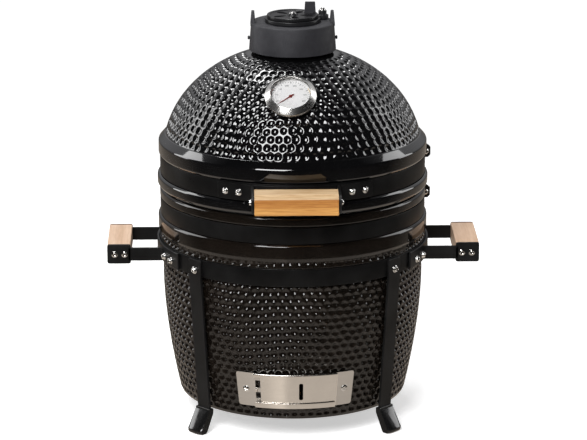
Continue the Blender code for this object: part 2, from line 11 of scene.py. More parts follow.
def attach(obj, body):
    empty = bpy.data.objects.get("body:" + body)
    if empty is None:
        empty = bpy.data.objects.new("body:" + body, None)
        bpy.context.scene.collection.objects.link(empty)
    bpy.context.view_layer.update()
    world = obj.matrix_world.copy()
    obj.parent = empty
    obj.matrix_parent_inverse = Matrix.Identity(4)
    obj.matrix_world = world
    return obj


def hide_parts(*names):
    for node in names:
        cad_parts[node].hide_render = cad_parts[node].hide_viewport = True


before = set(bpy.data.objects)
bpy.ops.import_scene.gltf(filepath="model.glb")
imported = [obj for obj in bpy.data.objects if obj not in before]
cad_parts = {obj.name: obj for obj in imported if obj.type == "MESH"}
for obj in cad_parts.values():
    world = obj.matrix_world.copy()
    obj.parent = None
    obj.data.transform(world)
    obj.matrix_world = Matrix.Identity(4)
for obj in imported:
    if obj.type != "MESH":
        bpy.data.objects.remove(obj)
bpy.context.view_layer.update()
scene = bpy.context.scene
rng = np.random.default_rng(11)

# ---------------------------------------------------------------- dimensions, metres and degrees
# an oval dome: height of its middle, then (half width, half height) outside and inside
DOME_Z, DOME_OUT, DOME_IN = 0.3915, (0.192, 0.159), (0.172, 0.139)
BAND_R, BAND_SPLIT = (0.195, 0.1965), 105.0  # inner and outer radius, and where the ends meet
WALL_R, WALL_Z, WALL_SLOPE = 0.1725, 0.049, 0.191  # the tapered wall behind the draft door
PIN = (0.2455, 0.345)  # the hinge's axis, (y, z)
PIVOT = (0.0445, 0.0195)  # the damper plate's screw, (x, y)
SHEET_R = 0.178  # the draft door's sheets are bent round this radius
DOOR_LOW, DOOR_HIGH, DOOR_MIDDLE = 0.049, 0.104, 0.0765
RING_BOLT_Z, GRIP_BOLT_Z = 0.2505, 0.2507
GRATE_R, GRATE_Z = 0.1562, 0.3362
SHARP = math.radians(38)  # edges sharper than this stay crisp
SIDES, ENDS = ((-1, "left"), (1, "right")), ((-1, "front"), (1, "rear"))
SWAP_XY = Matrix(((0, 1, 0, 0), (1, 0, 0, 0), (0, 0, 1, 0), (0, 0, 0, 1)))
# the thermometer: place and facing on the dome, then where its needle rests
GAUGE_R, GAUGE_Z, GAUGE_TURN, GAUGE_TILT, GAUGE_REST = 0.136, 0.504, -2.5, 51.6, 128.0
LEG_TURNS = {"front_left": -46, "front_right": 46, "rear_left": -134, "rear_right": 134}

# ---------------------------------------------------------------- view and lights
AIM_Z, VIEW_DISTANCE, VIEW_TURN, VIEW_DROP = 0.2855, 4.6, -1.3, 15.5
LAMP_AIM_Z = 0.33
LAMPS = (  # name, azimuth, elevation, distance, width, height, watts
    ("key", -20, 38, 2.6, 1.1, 1.7, 70),
    ("side_left", -107, 20, 2.4, 0.85, 2.0, 20),
    ("side_right", 107, 20, 2.4, 0.85, 2.0, 14),
    ("top", -163, 62, 3.0, 1.2, 0.8, 36),
)


def polar(r, degrees, z):
    a = math.radians(degrees)
    return Vector((r * math.sin(a), -r * math.cos(a), z))


def turn(degrees, axis="Z"):
    return Matrix.Rotation(math.radians(degrees), 4, axis)


def facing(at, direction):
    return Matrix.Translation(at) @ Vector(direction).to_track_quat("Z", "Y").to_matrix().to_4x4()


def oval(half, z):
    return half[0] * math.sqrt(max(0.0, 1 - ((z - DOME_Z) / half[1]) ** 2))


def wall_r(z, out=0.0):
    return WALL_R + WALL_SLOPE * (z - WALL_Z) + out


# ---------------------------------------------------------------- materials
def node(tree, kind, settings=None, **inputs):
    """Adds a shader node. Inputs are named with _ for a space; a value is a constant or a socket."""
    made = tree.nodes.new("ShaderNode" + kind)
    for key, value in (settings or {}).items():
        setattr(made, key, value)
    for key, value in inputs.items():
        numbered = key[0] == "i" and key[1:].isdigit()
        socket = made.inputs[int(key[1:]) if numbered else key.replace("_", " ")]
        if isinstance(value, bpy.types.NodeSocket):
            tree.links.new(value, socket)
        else:
            socket.default_value = value
    return made


def look(name, colour, roughness, metallic=0.0, **more):
    """A Principled material with its plain numbers on its own sockets."""
    made = bpy.data.materials.new(name)
    made.use_nodes = True
    shader = made.node_tree.nodes["Principled BSDF"]
    shader.inputs["Base Color"].default_value = (*colour, 1)
    shader.inputs["Roughness"].default_value = roughness
    shader.inputs["Metallic"].default_value = metallic
    for key, value in more.items():
        shader.inputs[key.replace("_", " ")].default_value = value
    made.diffuse_color = (*colour, 1)
    return made


def place_of(tree, stretch=(1, 1, 1)):
    where = node(tree, "TexCoord")
    return node(tree, "Mapping", Vector=where.outputs["Object"], Scale=stretch).outputs[0]


def noise(tree, where, scale, detail=3.0, roughness=0.55, distortion=0.0):
    return node(tree, "TexNoise", Vector=where, Scale=scale, Detail=detail, Roughness=roughness,
                Distortion=distortion).outputs["Fac"]


def ramp(tree, value, stops):
    made = node(tree, "ValToRGB", Fac=value)
    band = made.color_ramp
    while len(band.elements) < len(stops):
        band.elements.new(0.5)
    for element, (at, colour) in zip(band.elements, stops):
        element.position = at
        element.color = (*colour, 1) if hasattr(colour, "__len__") else (colour, colour, colour, 1)
    return made.outputs["Color"]


def span(tree, value, low, high, start=0.0, end=1.0):
    return node(tree, "MapRange", Value=value, From_Min=start, From_Max=end, To_Min=low,
                To_Max=high).outputs[0]


def wire_up(material, **sockets):
    shader = material.node_tree.nodes["Principled BSDF"]
    for key, socket in sockets.items():
        material.node_tree.links.new(socket, shader.inputs[key.replace("_", " ")])
    return material


def bump(tree, height, strength, distance, normal=None):
    more = {"Normal": normal} if normal else {}
    return node(tree, "Bump", Height=height, Strength=strength, Distance=distance, **more).outputs[0]


def multiplied(tree, share, colour, by):
    settings = {"data_type": "RGBA", "blend_type": "MULTIPLY"}
    return node(tree, "Mix", settings, i0=share, i6=colour, i7=by).outputs[2]


def blended(tree, share, colour, other):
    return node(tree, "Mix", {"data_type": "RGBA"}, i0=share, i6=colour, i7=other).outputs[2]


def maths(tree, operation, first, second):
    return node(tree, "Math", {"operation": operation}, i0=first, i1=second).outputs[0]


def glaze(name, dark, light, roughness, coat, index):
    """Thick glossy glaze: slow colour change, a faint orange-peel and a few pinholes."""
    m = look(name, dark, roughness, IOR=index, Coat_Weight=coat, Coat_Roughness=0.04)
    t = m.node_tree
    where = place_of(t)
    slow = noise(t, where, 14, 4)
    peel = noise(t, where, 260, 2)
    pits = node(t, "TexVoronoi", Vector=where, Scale=210).outputs["Distance"]
    pits = span(t, pits, 0, 1, 0.02, 0.09)
    colour = ramp(t, slow, [(0.3, dark), (0.75, light)])
    rough = span(t, noise(t, where, 45, 4), roughness * 0.7, roughness * 1.7, 0.3, 0.75)
    normal = bump(t, pits, 0.12, 0.0003, bump(t, peel, 0.06, 0.0006))
    return wire_up(m, Base_Color=colour, Roughness=rough, Normal=normal)


def coated_steel(name, colour=(0.005, 0.0049, 0.005), sheen=0.4):
    """Satin black powder coat over steel, with a fine texture and dusty patches."""
    m = look(name, colour, 0.33, IOR=1.42, Specular_IOR_Level=sheen)
    t = m.node_tree
    where = place_of(t)
    fine = noise(t, where, 1900, 2)
    slow = noise(t, where, 22, 5)
    tone = ramp(t, slow, [(0.35, colour), (0.8, tuple(c * 2.0 + 0.001 for c in colour))])
    rough = span(t, slow, 0.26, 0.42, 0.3, 0.75)
    return wire_up(m, Base_Color=tone, Roughness=rough, Normal=bump(t, fine, 0.16, 0.00025))


def cast_iron(name, dark, light):
    m = look(name, dark, 0.62, 0.25)
    t = m.node_tree
    where = place_of(t)
    grain = noise(t, where, 620, 5, 0.65)
    lumps = noise(t, where, 90, 4)
    tone = ramp(t, noise(t, where, 30, 6, 0.6), [(0.3, dark), (0.7, light)])
    rough = span(t, lumps, 0.52, 0.74, 0.3, 0.7)
    normal = bump(t, grain, 0.32, 0.0005, bump(t, lumps, 0.25, 0.001))
    return wire_up(m, Base_Color=tone, Roughness=rough, Normal=normal)


def brushed(name, colour, roughness, stretch, marks=0.08):
    """Sheet steel with fine drawn lines along one direction and slow smudges."""
    m = look(name, colour, roughness, 1.0)
    t = m.node_tree
    lines = noise(t, place_of(t, stretch), 900, 3, 0.6)
    smudge = noise(t, place_of(t), 26, 4)
    tone = ramp(t, smudge, [(0.3, tuple(c * 0.86 for c in colour)), (0.75, colour)])
    rough = span(t, maths(t, "MULTIPLY", lines, smudge), roughness * 0.7, roughness * 1.5, 0.1, 0.5)
    return wire_up(m, Base_Color=tone, Roughness=rough, Normal=bump(t, lines, marks, 0.0002))


def bamboo(name, tones, along, strip, grain_dark, painted_top_light=None):
    """Glued strips, one tone to each, with long fibres and a satin varnish. The top face may get a painted
    highlight: a paler colour above a given height, for light falling from above.
    """
    m = look(name, tones[1], 0.42, Coat_Weight=0.25, Coat_Roughness=0.25)
    t = m.node_tree
    lengthwise = tuple(0.06 if i == along else 1.0 for i in range(3))
    across = node(t, "SeparateXYZ", Vector=node(t, "TexCoord").outputs["Object"])
    steps = []
    for axis in range(3):
        if axis != along:
            scaled = maths(t, "DIVIDE", across.outputs[axis], strip[axis])
            steps.append(node(t, "Math", {"operation": "FLOOR"}, i0=scaled).outputs[0])
    cell = node(t, "CombineXYZ", X=steps[0], Y=steps[1])
    pick = node(t, "TexWhiteNoise", {"noise_dimensions": "2D"}, Vector=cell.outputs[0]).outputs["Value"]
    base = ramp(t, pick, [(0.0, tones[0]), (0.5, tones[1]), (1.0, tones[2])])
    # painted highlight: above the given height the colour turns paler, standing in for light falling on the
    # top face
    if painted_top_light:
        height, pale = painted_top_light
        above = span(t, across.outputs[2], 0, 1, height - 0.0004, height + 0.0004)
        base = blended(t, above, base, (*pale, 1))
    fibres = noise(t, place_of(t, lengthwise), 520, 5, 0.6)
    streaks = noise(t, place_of(t, lengthwise), 120, 4, 0.6, 0.4)
    shade = ramp(t, fibres, [(0.35, grain_dark), (0.6, (1, 1, 1))])
    tint = ramp(t, streaks, [(0.3, (0.86, 0.8, 0.72)), (0.6, (1, 1, 1))])
    mixed = multiplied(t, 0.7, multiplied(t, 0.8, base, shade), tint)
    rough = span(t, fibres, 0.34, 0.56, 0.3, 0.7)
    return wire_up(m, Base_Color=mixed, Roughness=rough, Normal=bump(t, fibres, 0.22, 0.0003))


def rough_body(name, dark, light, scale, height):
    """Bare fired clay or felt: matte, mottled and grainy."""
    m = look(name, dark, 0.9)
    t = m.node_tree
    where = place_of(t)
    tone = ramp(t, noise(t, where, scale * 0.08, 6, 0.65), [(0.3, dark), (0.72, light)])
    grain = noise(t, where, scale, 5, 0.7)
    return wire_up(m, Base_Color=tone, Roughness=span(t, grain, 0.78, 0.97, 0.3, 0.7),
                   Normal=bump(t, grain, 0.4, height))


def lens_glass(name):
    m = bpy.data.materials.new(name)
    m.use_nodes = True
    t = m.node_tree
    t.nodes.clear()
    clear = node(t, "BsdfTransparent", Color=(0.97, 0.98, 0.98, 1))
    gloss = node(t, "BsdfGlossy", Roughness=0.02)
    edge = node(t, "Fresnel", IOR=1.45)
    mixed = node(t, "MixShader", i0=edge.outputs[0], i1=clear.outputs[0], i2=gloss.outputs[0])
    node(t, "OutputMaterial", Surface=mixed.outputs[0])
    return m


DOME_GLAZE = glaze("dome_glaze", (0.0016, 0.0016, 0.0018), (0.0042, 0.0042, 0.0046), 0.06, 0.8, 1.5)
BASE_GLAZE = glaze("base_glaze", (0.0034, 0.0025, 0.0019), (0.0085, 0.0062, 0.0046), 0.1, 0.65, 1.28)
CLAY = rough_body("bare_clay", (0.46, 0.36, 0.27), (0.66, 0.56, 0.44), 420, 0.0006)
FELT = rough_body("felt", (0.035, 0.035, 0.037), (0.09, 0.09, 0.09), 900, 0.0008)
STEEL = coated_steel("black_steel")
BAND_STEEL = coated_steel("band_steel", (0.0036, 0.0035, 0.0035), 0.2)
IRON = cast_iron("cast_iron", (0.021, 0.021, 0.025), (0.038, 0.038, 0.044))
PLATE = coated_steel("damper_enamel", (0.012, 0.012, 0.013))
SHEET = brushed("draft_sheet", (0.84, 0.8, 0.75), 0.2, (0.03, 0.03, 1.0))
FLANGE = brushed("draft_flange", (0.86, 0.83, 0.79), 0.42, (0.03, 0.03, 1.0))
BEZEL = brushed("bezel_steel", (0.8, 0.785, 0.76), 0.24, (1.0, 1.0, 1.0), 0.05)
WIRE = brushed("grate_wire", (0.66, 0.64, 0.61), 0.22, (1.0, 1.0, 1.0), 0.05)
BOLT = brushed("bolt_steel", (0.84, 0.83, 0.81), 0.14, (1.0, 1.0, 1.0), 0.04)
# the last argument paints the front grip's top face paler above z 0.3866, a painted highlight for light from
# above
BAMBOO = bamboo("bamboo", [(0.43, 0.175, 0.032), (0.55, 0.255, 0.052), (0.64, 0.33, 0.085)], 0,
                (1, 0.0125, 0.0048), (0.66, 0.52, 0.36), (0.3866, (0.66, 0.48, 0.28)))
PALE = bamboo("pale_wood", [(0.72, 0.5, 0.35), (0.79, 0.565, 0.405), (0.84, 0.62, 0.47)], 1,
              (0.011, 1, 0.0075), (0.86, 0.78, 0.68))
VINYL = look("foot_vinyl", (0.007, 0.007, 0.007), 0.12, IOR=1.5, Coat_Weight=0.6, Coat_Roughness=0.06)
DIAL = look("dial_face", (0.88, 0.84, 0.84), 0.45)
INK = look("dial_ink", (0.03, 0.03, 0.03), 0.5)
RED = look("needle_red", (0.2, 0.022, 0.016), 0.35)
GLASS = lens_glass("lens_glass")
for soft, scale, depth in ((VINYL, 150, 0.0004), (DIAL, 900, 0.00005), (INK, 900, 0.00005),
                           (RED, 700, 0.0001)):
    tree = soft.node_tree
    field = noise(tree, place_of(tree), scale, 3)
    base = soft.node_tree.nodes["Principled BSDF"].inputs["Roughness"].default_value
    wire_up(soft, Roughness=span(tree, field, base * 0.8, base * 1.35, 0.3, 0.7),
            Normal=bump(tree, field, 0.12, depth))


# ---------------------------------------------------------------- shapes
def fillet(points, radius, closed=False, arc=5):
    """Rounds an outline's corners. A point may carry its own radius as a third number."""
    out = []
    count = len(points)
    for i, point in enumerate(points):
        here = Vector(point[:2])
        own = point[2] if len(point) > 2 else radius
        if own <= 0 or (not closed and i in (0, count - 1)):
            out.append(here)
            continue
        before = Vector(points[i - 1][:2]) - here
        after = Vector(points[(i + 1) % count][:2]) - here
        angle = before.angle(after, math.pi)
        if angle > math.radians(172):
            out.append(here)
            continue
        reach = min(own / math.tan(angle / 2), 0.48 * before.length, 0.48 * after.length)
        start, end = here + before.normalized() * reach, here + after.normalized() * reach
        for k in range(arc + 1):
            u = k / arc
            out.append(start * (1 - u) ** 2 + here * 2 * u * (1 - u) + end * u * u)
    return [(p[0], p[1]) for p in out]


def mesh_of(name, points, wrap_rows=False, wrap_cols=False, caps=False):
    """A mesh from a grid of points; rows run down a profile and columns go round."""
    rows, cols = points.shape[:2]
    i = np.arange(rows if wrap_rows else rows - 1)[:, None]
    j = np.arange(cols if wrap_cols else cols - 1)[None, :]
    below, beside = (i + 1) % rows, (j + 1) % cols
    quads = np.stack([i * cols + j, below * cols + j, below * cols + beside, i * cols + beside],
                     -1).reshape(-1, 4)
    mesh = bpy.data.meshes.new(name)
    mesh.vertices.add(rows * cols)
    mesh.vertices.foreach_set("co", points.astype(np.float32).ravel())
    ends = []
    if caps:
        ends = [[r * cols for r in range(rows)], [r * cols + cols - 1 for r in reversed(range(rows))]]
    loops = np.concatenate([quads.ravel(), *[np.array(e) for e in ends]]) if ends else quads.ravel()
    starts = np.arange(len(quads)) * 4
    totals = np.full(len(quads), 4)
    for e in ends:
        starts, totals = np.append(starts, starts[-1] + totals[-1]), np.append(totals, len(e))
    mesh.loops.add(len(loops))
    mesh.loops.foreach_set("vertex_index", loops.astype(np.int32))
    mesh.polygons.add(len(starts))
    mesh.polygons.foreach_set("loop_start", starts.astype(np.int32))
    mesh.polygons.foreach_set("loop_total", totals.astype(np.int32))
    mesh.update(calc_edges=True)
    mesh.validate()
    return mesh


def swept(name, profile, steps=192, start=0.0, end=360.0, ring=True):
    """Turns an (r, z) profile that runs down its outer side round Z, all the way or between two angles."""
    whole = end - start >= 359.999
    angles = np.radians(np.linspace(start, end, steps + (0 if whole else 1), endpoint=not whole))
    r, z = np.array(profile, float).T
    points = np.stack([r[:, None] * np.sin(angles), -r[:, None] * np.cos(angles),
                       np.repeat(z[:, None], len(angles), 1)], -1)
    mesh = mesh_of(name, points, wrap_rows=ring, wrap_cols=whole, caps=not whole)
    if not ring or not whole:
        tidy(mesh, not whole)
    return mesh


def tidy(mesh, recalculate):
    bm = bmesh.new()
    bm.from_mesh(mesh)
    bmesh.ops.remove_doubles(bm, verts=bm.verts, dist=2e-6)
    if recalculate:
        bmesh.ops.recalc_face_normals(bm, faces=bm.faces)
    bm.to_mesh(mesh)
    bm.free()


def slab(name, outline, low, high):
    """An outline of (y, z), as a plate from x = low to x = high."""
    bm = bmesh.new()
    face = bm.faces.new([bm.verts.new((low, y, z)) for y, z in outline])
    grown = bmesh.ops.extrude_face_region(bm, geom=[face])
    moved = [v for v in grown["geom"] if isinstance(v, bmesh.types.BMVert)]
    bmesh.ops.translate(bm, verts=moved, vec=(high - low, 0, 0))
    bmesh.ops.recalc_face_normals(bm, faces=bm.faces)
    if bm.calc_volume(signed=True) < 0:
        bmesh.ops.reverse_faces(bm, faces=bm.faces)
    mesh = bpy.data.meshes.new(name)
    bm.to_mesh(mesh)
    bm.free()
    return mesh


def block(name, low, high):
    outline = [(low[1], low[2]), (high[1], low[2]), (high[1], high[2]), (low[1], high[2])]
    return slab(name, outline, low[0], high[0])


def show(name, mesh, material, body, nodes=(), place=None, bevel=0.0, segments=3, angle=35):
    """Puts a mesh in the scene as a piece of the object that rides on a CAD body."""
    obj = bpy.data.objects.new(name, mesh)
    scene.collection.objects.link(obj)
    if place is not None:
        mesh.transform(place)
        if place.determinant() < 0:
            mesh.flip_normals()
    if not mesh.materials:
        mesh.materials.append(material)
    mesh.shade_smooth()
    mesh.set_sharp_from_angle(angle=SHARP)
    if bevel:
        change = obj.modifiers.new("Bevel", "BEVEL")
        change.width, change.segments, change.angle_limit = bevel, segments, math.radians(angle)
        change.limit_method = "ANGLE"
        change.harden_normals = True
    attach(obj, body)
    if nodes:
        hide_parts(*nodes)
    return obj


def cut(obj, *tools):
    """Cuts holes with meshes that are then thrown away."""
    for mesh in tools:
        cutter = bpy.data.objects.new("cutter", mesh)
        scene.collection.objects.link(cutter)
        change = obj.modifiers.new("Cut", "BOOLEAN")
        change.operation, change.solver, change.object = "DIFFERENCE", "EXACT", cutter
        while obj.modifiers[0] != change:
            obj.modifiers.move(obj.modifiers.find(change.name), 0)
        bpy.context.view_layer.update()
        bevels = [m for m in obj.modifiers if m != change]
        for m in bevels:
            m.show_viewport = False
        made = bpy.data.meshes.new_from_object(obj.evaluated_get(bpy.context.evaluated_depsgraph_get()))
        for m in bevels:
            m.show_viewport = True
        obj.modifiers.remove(change)
        obj.data = made
        bpy.data.objects.remove(cutter)
    obj.data.shade_smooth()
    obj.data.set_sharp_from_angle(angle=SHARP)
    return obj


def joined(name, *meshes):
    bm = bmesh.new()
    for mesh in meshes:
        bm.from_mesh(mesh)
    out = bpy.data.meshes.new(name)
    bm.to_mesh(out)
    bm.free()
    return out


def sliced(mesh, places, along):
    """Cuts lines across a mesh at places along an axis, so that it can be bent."""
    bm = bmesh.new()
    bm.from_mesh(mesh)
    for at in places:
        whole = [*bm.verts, *bm.edges, *bm.faces]
        bmesh.ops.bisect_plane(bm, geom=whole, plane_co=along * float(at), plane_no=along)
    bm.to_mesh(mesh)
    bm.free()
    return mesh


def moved(mesh, place):
    mesh.transform(place)
    return mesh


# ---------------------------------------------------------------- glazed ceramic with dimples
def dimple_rows(length, pitch, radius_at, front):
    """Rows of dimples along a wall, as (arc place, count, first angle). Neighbours are half a step apart."""
    number = max(1, round((length - 0.12 * pitch) / (pitch * 0.866)))
    gap = length / number
    rows = []
    for i in range(number):
        s = (i + 0.5) * gap
        count = max(8, round(2 * math.pi * radius_at(s) / pitch))
        rows.append((s, count, front + (math.pi / count if i % 2 else 0.0)))
    return rows


def dimple_field(arc, radius, angles, rows, pitch, reach, depth):
    """How far the wall is pushed in at each place, by bowls with soft lips in rows that sway a little."""
    field = np.zeros((len(arc), len(angles)))
    sway = np.sin(4 * angles + 1.0) * 0.0042 + np.sin(9 * angles + 2.2) * 0.0012
    drift = np.sin(5 * angles + 0.6) * 0.016
    middle = np.sin(np.pi * arc / arc[-1])[:, None]
    for s, count, first in rows:
        near = np.where(np.abs(arc - s) < pitch * 1.0)[0]
        step = 2 * math.pi / count
        shifted = angles + drift - first
        index = np.round(shifted / step).astype(int) % count
        away = (shifted + step / 2) % step - step / 2
        jitter = rng.normal(0, 0.045 * pitch, (2, count))
        size = 1 + rng.normal(0, 0.045, count)
        across = radius[near][:, None] * away[None, :] - jitter[0][index][None, :]
        along = (arc[near] - s)[:, None] + sway[None, :] * middle[near] - jitter[1][index][None, :]
        inside = 1 - (across**2 + along**2) / (reach * size[index][None, :]) ** 2
        bowl = 0.5 * (inside + np.sqrt(inside**2 + 0.012)) - 0.006
        field[near] = np.maximum(field[near], np.clip(bowl, 0, None) * depth * size[index][None, :])
    edge = np.clip(np.minimum(arc, arc[-1] - arc) / 0.0016, 0, 1)[:, None]
    return field * edge * edge * (3 - 2 * edge)


def ceramic(name, pieces, steps, pitch, reach, depth, front, ring):
    """A turned ceramic shell. Each piece is (points, dimpled), and together they run round its profile."""
    profile = np.array([point for points, _ in pieces for point in points], float)
    angles = np.linspace(0, 2 * math.pi, steps, endpoint=False)
    ahead = np.roll(profile, -1, 0) - np.roll(profile, 1, 0)
    ahead[0], ahead[-1] = profile[1] - profile[0], profile[-1] - profile[-2]
    ahead /= np.linalg.norm(ahead, axis=1)[:, None] + 1e-12
    normal = np.stack([-ahead[:, 1], ahead[:, 0]], -1)
    push = np.zeros((len(profile), steps))
    start = 0
    for points, dimpled in pieces:
        part = slice(start, start + len(points))
        start += len(points)
        if not dimpled:
            continue
        line = profile[part]
        arc = np.concatenate([[0], np.cumsum(np.linalg.norm(np.diff(line, axis=0), axis=1))])
        rows = dimple_rows(arc[-1], pitch, lambda s: np.interp(s, arc, line[:, 0]), front)
        push[part] = dimple_field(arc, line[:, 0], angles, rows, pitch, reach, depth)
    r = profile[:, 0][:, None] - normal[:, 0][:, None] * push
    z = profile[:, 1][:, None] - normal[:, 1][:, None] * push
    points = np.stack([r * np.sin(angles), -r * np.cos(angles), z], -1)
    return mesh_of(name, points, wrap_rows=ring, wrap_cols=True)


def evenly(curve, step):
    """Points of a fine (r, z) line taken at equal spacing."""
    curve = np.array(curve, float)
    arc = np.concatenate([[0], np.cumsum(np.linalg.norm(np.diff(curve, axis=0), axis=1))])
    at = np.linspace(0, arc[-1], max(2, int(arc[-1] / step) + 1))
    return np.stack([np.interp(at, arc, curve[:, 0]), np.interp(at, arc, curve[:, 1])], -1)


FINE = 0.00115
ROUND = 1080


def dome_shell():
    high, low = 0.5405, 0.4238
    heights = high + (low - high) * np.linspace(0, 1, 400)
    wall = evenly([(oval(DOME_OUT, z), z) for z in heights], FINE)
    before = fillet([(0.04, 0.56), (0.04, 0.575, 0.002), (0.0555, 0.575, 0.002), (0.0555, 0.544, 0.003),
                     (oval(DOME_OUT, 0.5412), 0.5412)], 0.002)
    after = fillet([
        (oval(DOME_OUT, 0.4232), 0.4232, 0), (0.1896, 0.4225, 0.0012),
        (0.1984, 0.413, 0.0045), (0.1984, 0.3955, 0.004), (0.1966, 0.3926, 0.0015),
        (0.1938, 0.3924, 0.001), (0.1938, 0.3643, 0.001), (0.1975, 0.364, 0.0015), (0.2004, 0.3612, 0.004),
        (0.2004, 0.3502, 0.004), (0.198, 0.3463, 0.003), (0.1785, 0.3463, 0.002), (0.174, 0.3485, 0.002),
    ], 0.002, arc=7)
    inner = [(oval(DOME_IN, z), z) for z in np.linspace(0.3915, 0.526, 40)] + [(0.04, 0.532)]
    mesh = ceramic("dome_ceramic", [(before, False), (wall, True), ([*after, *inner], False)], ROUND, 0.0131,
                   0.0057, 0.0021, math.radians(-3.4), True)
    show("dome_ceramic", mesh, DOME_GLAZE, "lid", ["dome_shell"])
    mesh.materials.append(CLAY)
    bare_inside(mesh, 0.1745, lambda z: oval(DOME_IN, max(z, DOME_Z)) + 0.004)


def bare_inside(mesh, rim_r, inner_at):
    """Faces of the hollow side carry bare clay, which is the second material."""
    count = len(mesh.polygons)
    centres = np.empty(count * 3, np.float32)
    mesh.polygons.foreach_get("center", centres)
    x, y, z = centres.reshape(-1, 3).T
    r = np.hypot(x, y)
    limit = np.array([inner_at(v) for v in np.round(z, 4)])
    mesh.polygons.foreach_set("material_index", (r < np.minimum(limit, rim_r)).astype(np.int32))


def base_shell():
    heights = np.linspace(0.2662, 0.0346, 500)
    curve = [(0.193 - 0.447 * max(0.0, 0.2105 - z) ** 1.69, z) for z in heights]
    wall = evenly(curve, FINE)
    top = fillet([
        (0.1735, 0.23), (0.1745, 0.3405, 0.003), (0.1772, 0.343, 0.002), (0.1942, 0.343, 0.003),
        (0.197, 0.34, 0.003), (0.197, 0.3302, 0.003), (0.1955, 0.3286, 0.001), (0.1938, 0.3284, 0.001),
        (0.1938, 0.3028, 0.001), (0.1972, 0.3026, 0.002), (0.1996, 0.2998, 0.004), (0.1996, 0.2815, 0.005),
        (0.1974, 0.277, 0.003), (0.1974, 0.2764, 0),
    ], 0.002, arc=7)
    shoulder = evenly([(0.1974, 0.2762), (0.1974, 0.2684)], FINE)
    shelf = fillet([(0.1974, 0.2682, 0), (0.1973, 0.2672, 0.0008), (0.1934, 0.2669, 0.0012),
                    (0.193, 0.2664, 0)], 0.001)
    inside = [(0.148, 0.052), (0.156, 0.064), (0.165, 0.12)]
    edge = curve[-1][0]
    bottom = fillet([(edge - 0.0004, 0.034, 0), (edge - 0.002, 0.03, 0.002), (0.001, 0.03)], 0.002, arc=5)
    pieces = [([(0.001, 0.052), *inside, *top], False), (shoulder, True), (shelf, False), (wall, True),
              (bottom, False)]
    mesh = ceramic("base_ceramic", pieces, ROUND, 0.0124, 0.005, 0.0025, math.radians(-2), False)
    obj = show("base_ceramic", mesh, BASE_GLAZE, "base", ["base_shell"])
    cut(obj, block("hole", (-0.04, -0.2, 0.06), (0.04, -0.1, 0.095)))
    obj.data.materials.append(CLAY)
    bare_inside(obj.data, 0.175, lambda z: np.interp(z, [0.05, 0.052, 0.064, 0.12, 0.23, 0.34],
                                                      [0, 0.15, 0.158, 0.167, 0.1755, 0.176]))


def inner_ceramics():
    firebox = [(0.158, 0.29), (0.158, 0.23), (0.15, 0.14), (0.138, 0.0526), (0.116, 0.0526),
               (0.106, 0.07), (0.106, 0.112), (0.12, 0.112), (0.13, 0.15), (0.142, 0.23), (0.142, 0.29)]
    obj = show("firebox_clay", swept("firebox_clay", fillet(firebox, 0.003, True), 160), CLAY,
               "base", ["firebox"])
    cut(obj, block("hole", (-0.04, -0.2, 0.06), (0.04, -0.09, 0.095)))
    ring = [(0.162, 0.333), (0.162, 0.295), (0.157, 0.2904), (0.14, 0.2904), (0.14, 0.333)]
    show("fire_ring_clay", swept("fire_ring_clay", fillet(ring, 0.003, True), 160), CLAY,
         "base", ["fire_ring"])
    gasket = [(0.1915, 0.3458), (0.1915, 0.3434), (0.1795, 0.3434), (0.1795, 0.3458)]
    show("rim_felt", swept("rim_felt", fillet(gasket, 0.0009, True), 200), FELT, "base", ["rim_gasket"])


# ---------------------------------------------------------------- fasteners
def bolt_mesh(name, shank_r, length, head_r, head_h, nut=0.0, washer=True):
    """Domed socket head on a washer, shank, and a nut with a washer at the far end if it has one."""
    socket = head_r * 0.42
    profile = [(0, head_h * 0.12), (socket, head_h * 0.12), (socket, head_h * 0.97), (head_r * 0.54, head_h),
               (head_r * 0.74, head_h * 0.7), (head_r * 0.78, head_h * 0.24)]
    profile += [(head_r, head_h * 0.22), (head_r, 0)] if washer else [(head_r * 0.9, 0)]
    profile += [(shank_r, 0), (shank_r, -length)]
    if nut:
        profile += [(head_r, -length), (head_r, -length - nut * 0.18), (head_r * 0.86, -length - nut * 0.2),
                    (head_r * 0.86, -length - nut * 0.94), (head_r * 0.76, -length - nut), (0, -length - nut)]
    else:
        profile += [(0, -length)]
    return swept(name, fillet(profile, head_h * 0.1, arc=3), 28, ring=False)


def bolt(name, body, at, direction, shank_r, length, head_r, head_h, nut=0.0, nodes=None,
         washer=True, material=None):
    mesh = bolt_mesh(name, shank_r, length, head_r, head_h, nut, washer)
    spin = turn(float(rng.uniform(0, 60)))
    show(name, mesh, material or BOLT, body, nodes or (), facing(at, direction) @ spin)


# ---------------------------------------------------------------- bands and front handle
def band(name, node_name, body, low, high):
    middle = (low + high) / 2
    profile = fillet([(BAND_R[0], low), (BAND_R[1], low), (BAND_R[1], high), (BAND_R[0], high)][::-1],
                     0.00055, True, 4)
    strip = swept(name, profile, 260, BAND_SPLIT + 0.6, BAND_SPLIT + 359.4)
    show(name, strip, BAND_STEEL, body, [node_name])
    ear = [(-0.1958, middle - 0.0098), (-0.211, middle - 0.0098), (-0.2148, middle - 0.0062),
           (-0.2148, middle + 0.0062), (-0.211, middle + 0.0098), (-0.1958, middle + 0.0098)]
    ear = fillet(ear, 0.003, True, 4)
    for side, label in ENDS:
        low_x, high_x = sorted((side * 0.0015, side * 0.004))
        show(f"{name}_ear_{label}", slab("ear", ear, low_x, high_x), STEEL, body, (),
             turn(BAND_SPLIT), bevel=0.0005)
    forward = -(turn(BAND_SPLIT) @ Vector((1, 0, 0)))
    seat = polar(0.2072, BAND_SPLIT, middle) + forward * 0.0043
    bolt(name + "_clamp_bolt", body, seat, forward, 0.0028, 0.0086, 0.0048, 0.0032, 0.003,
         [node_name + "_bolt"])


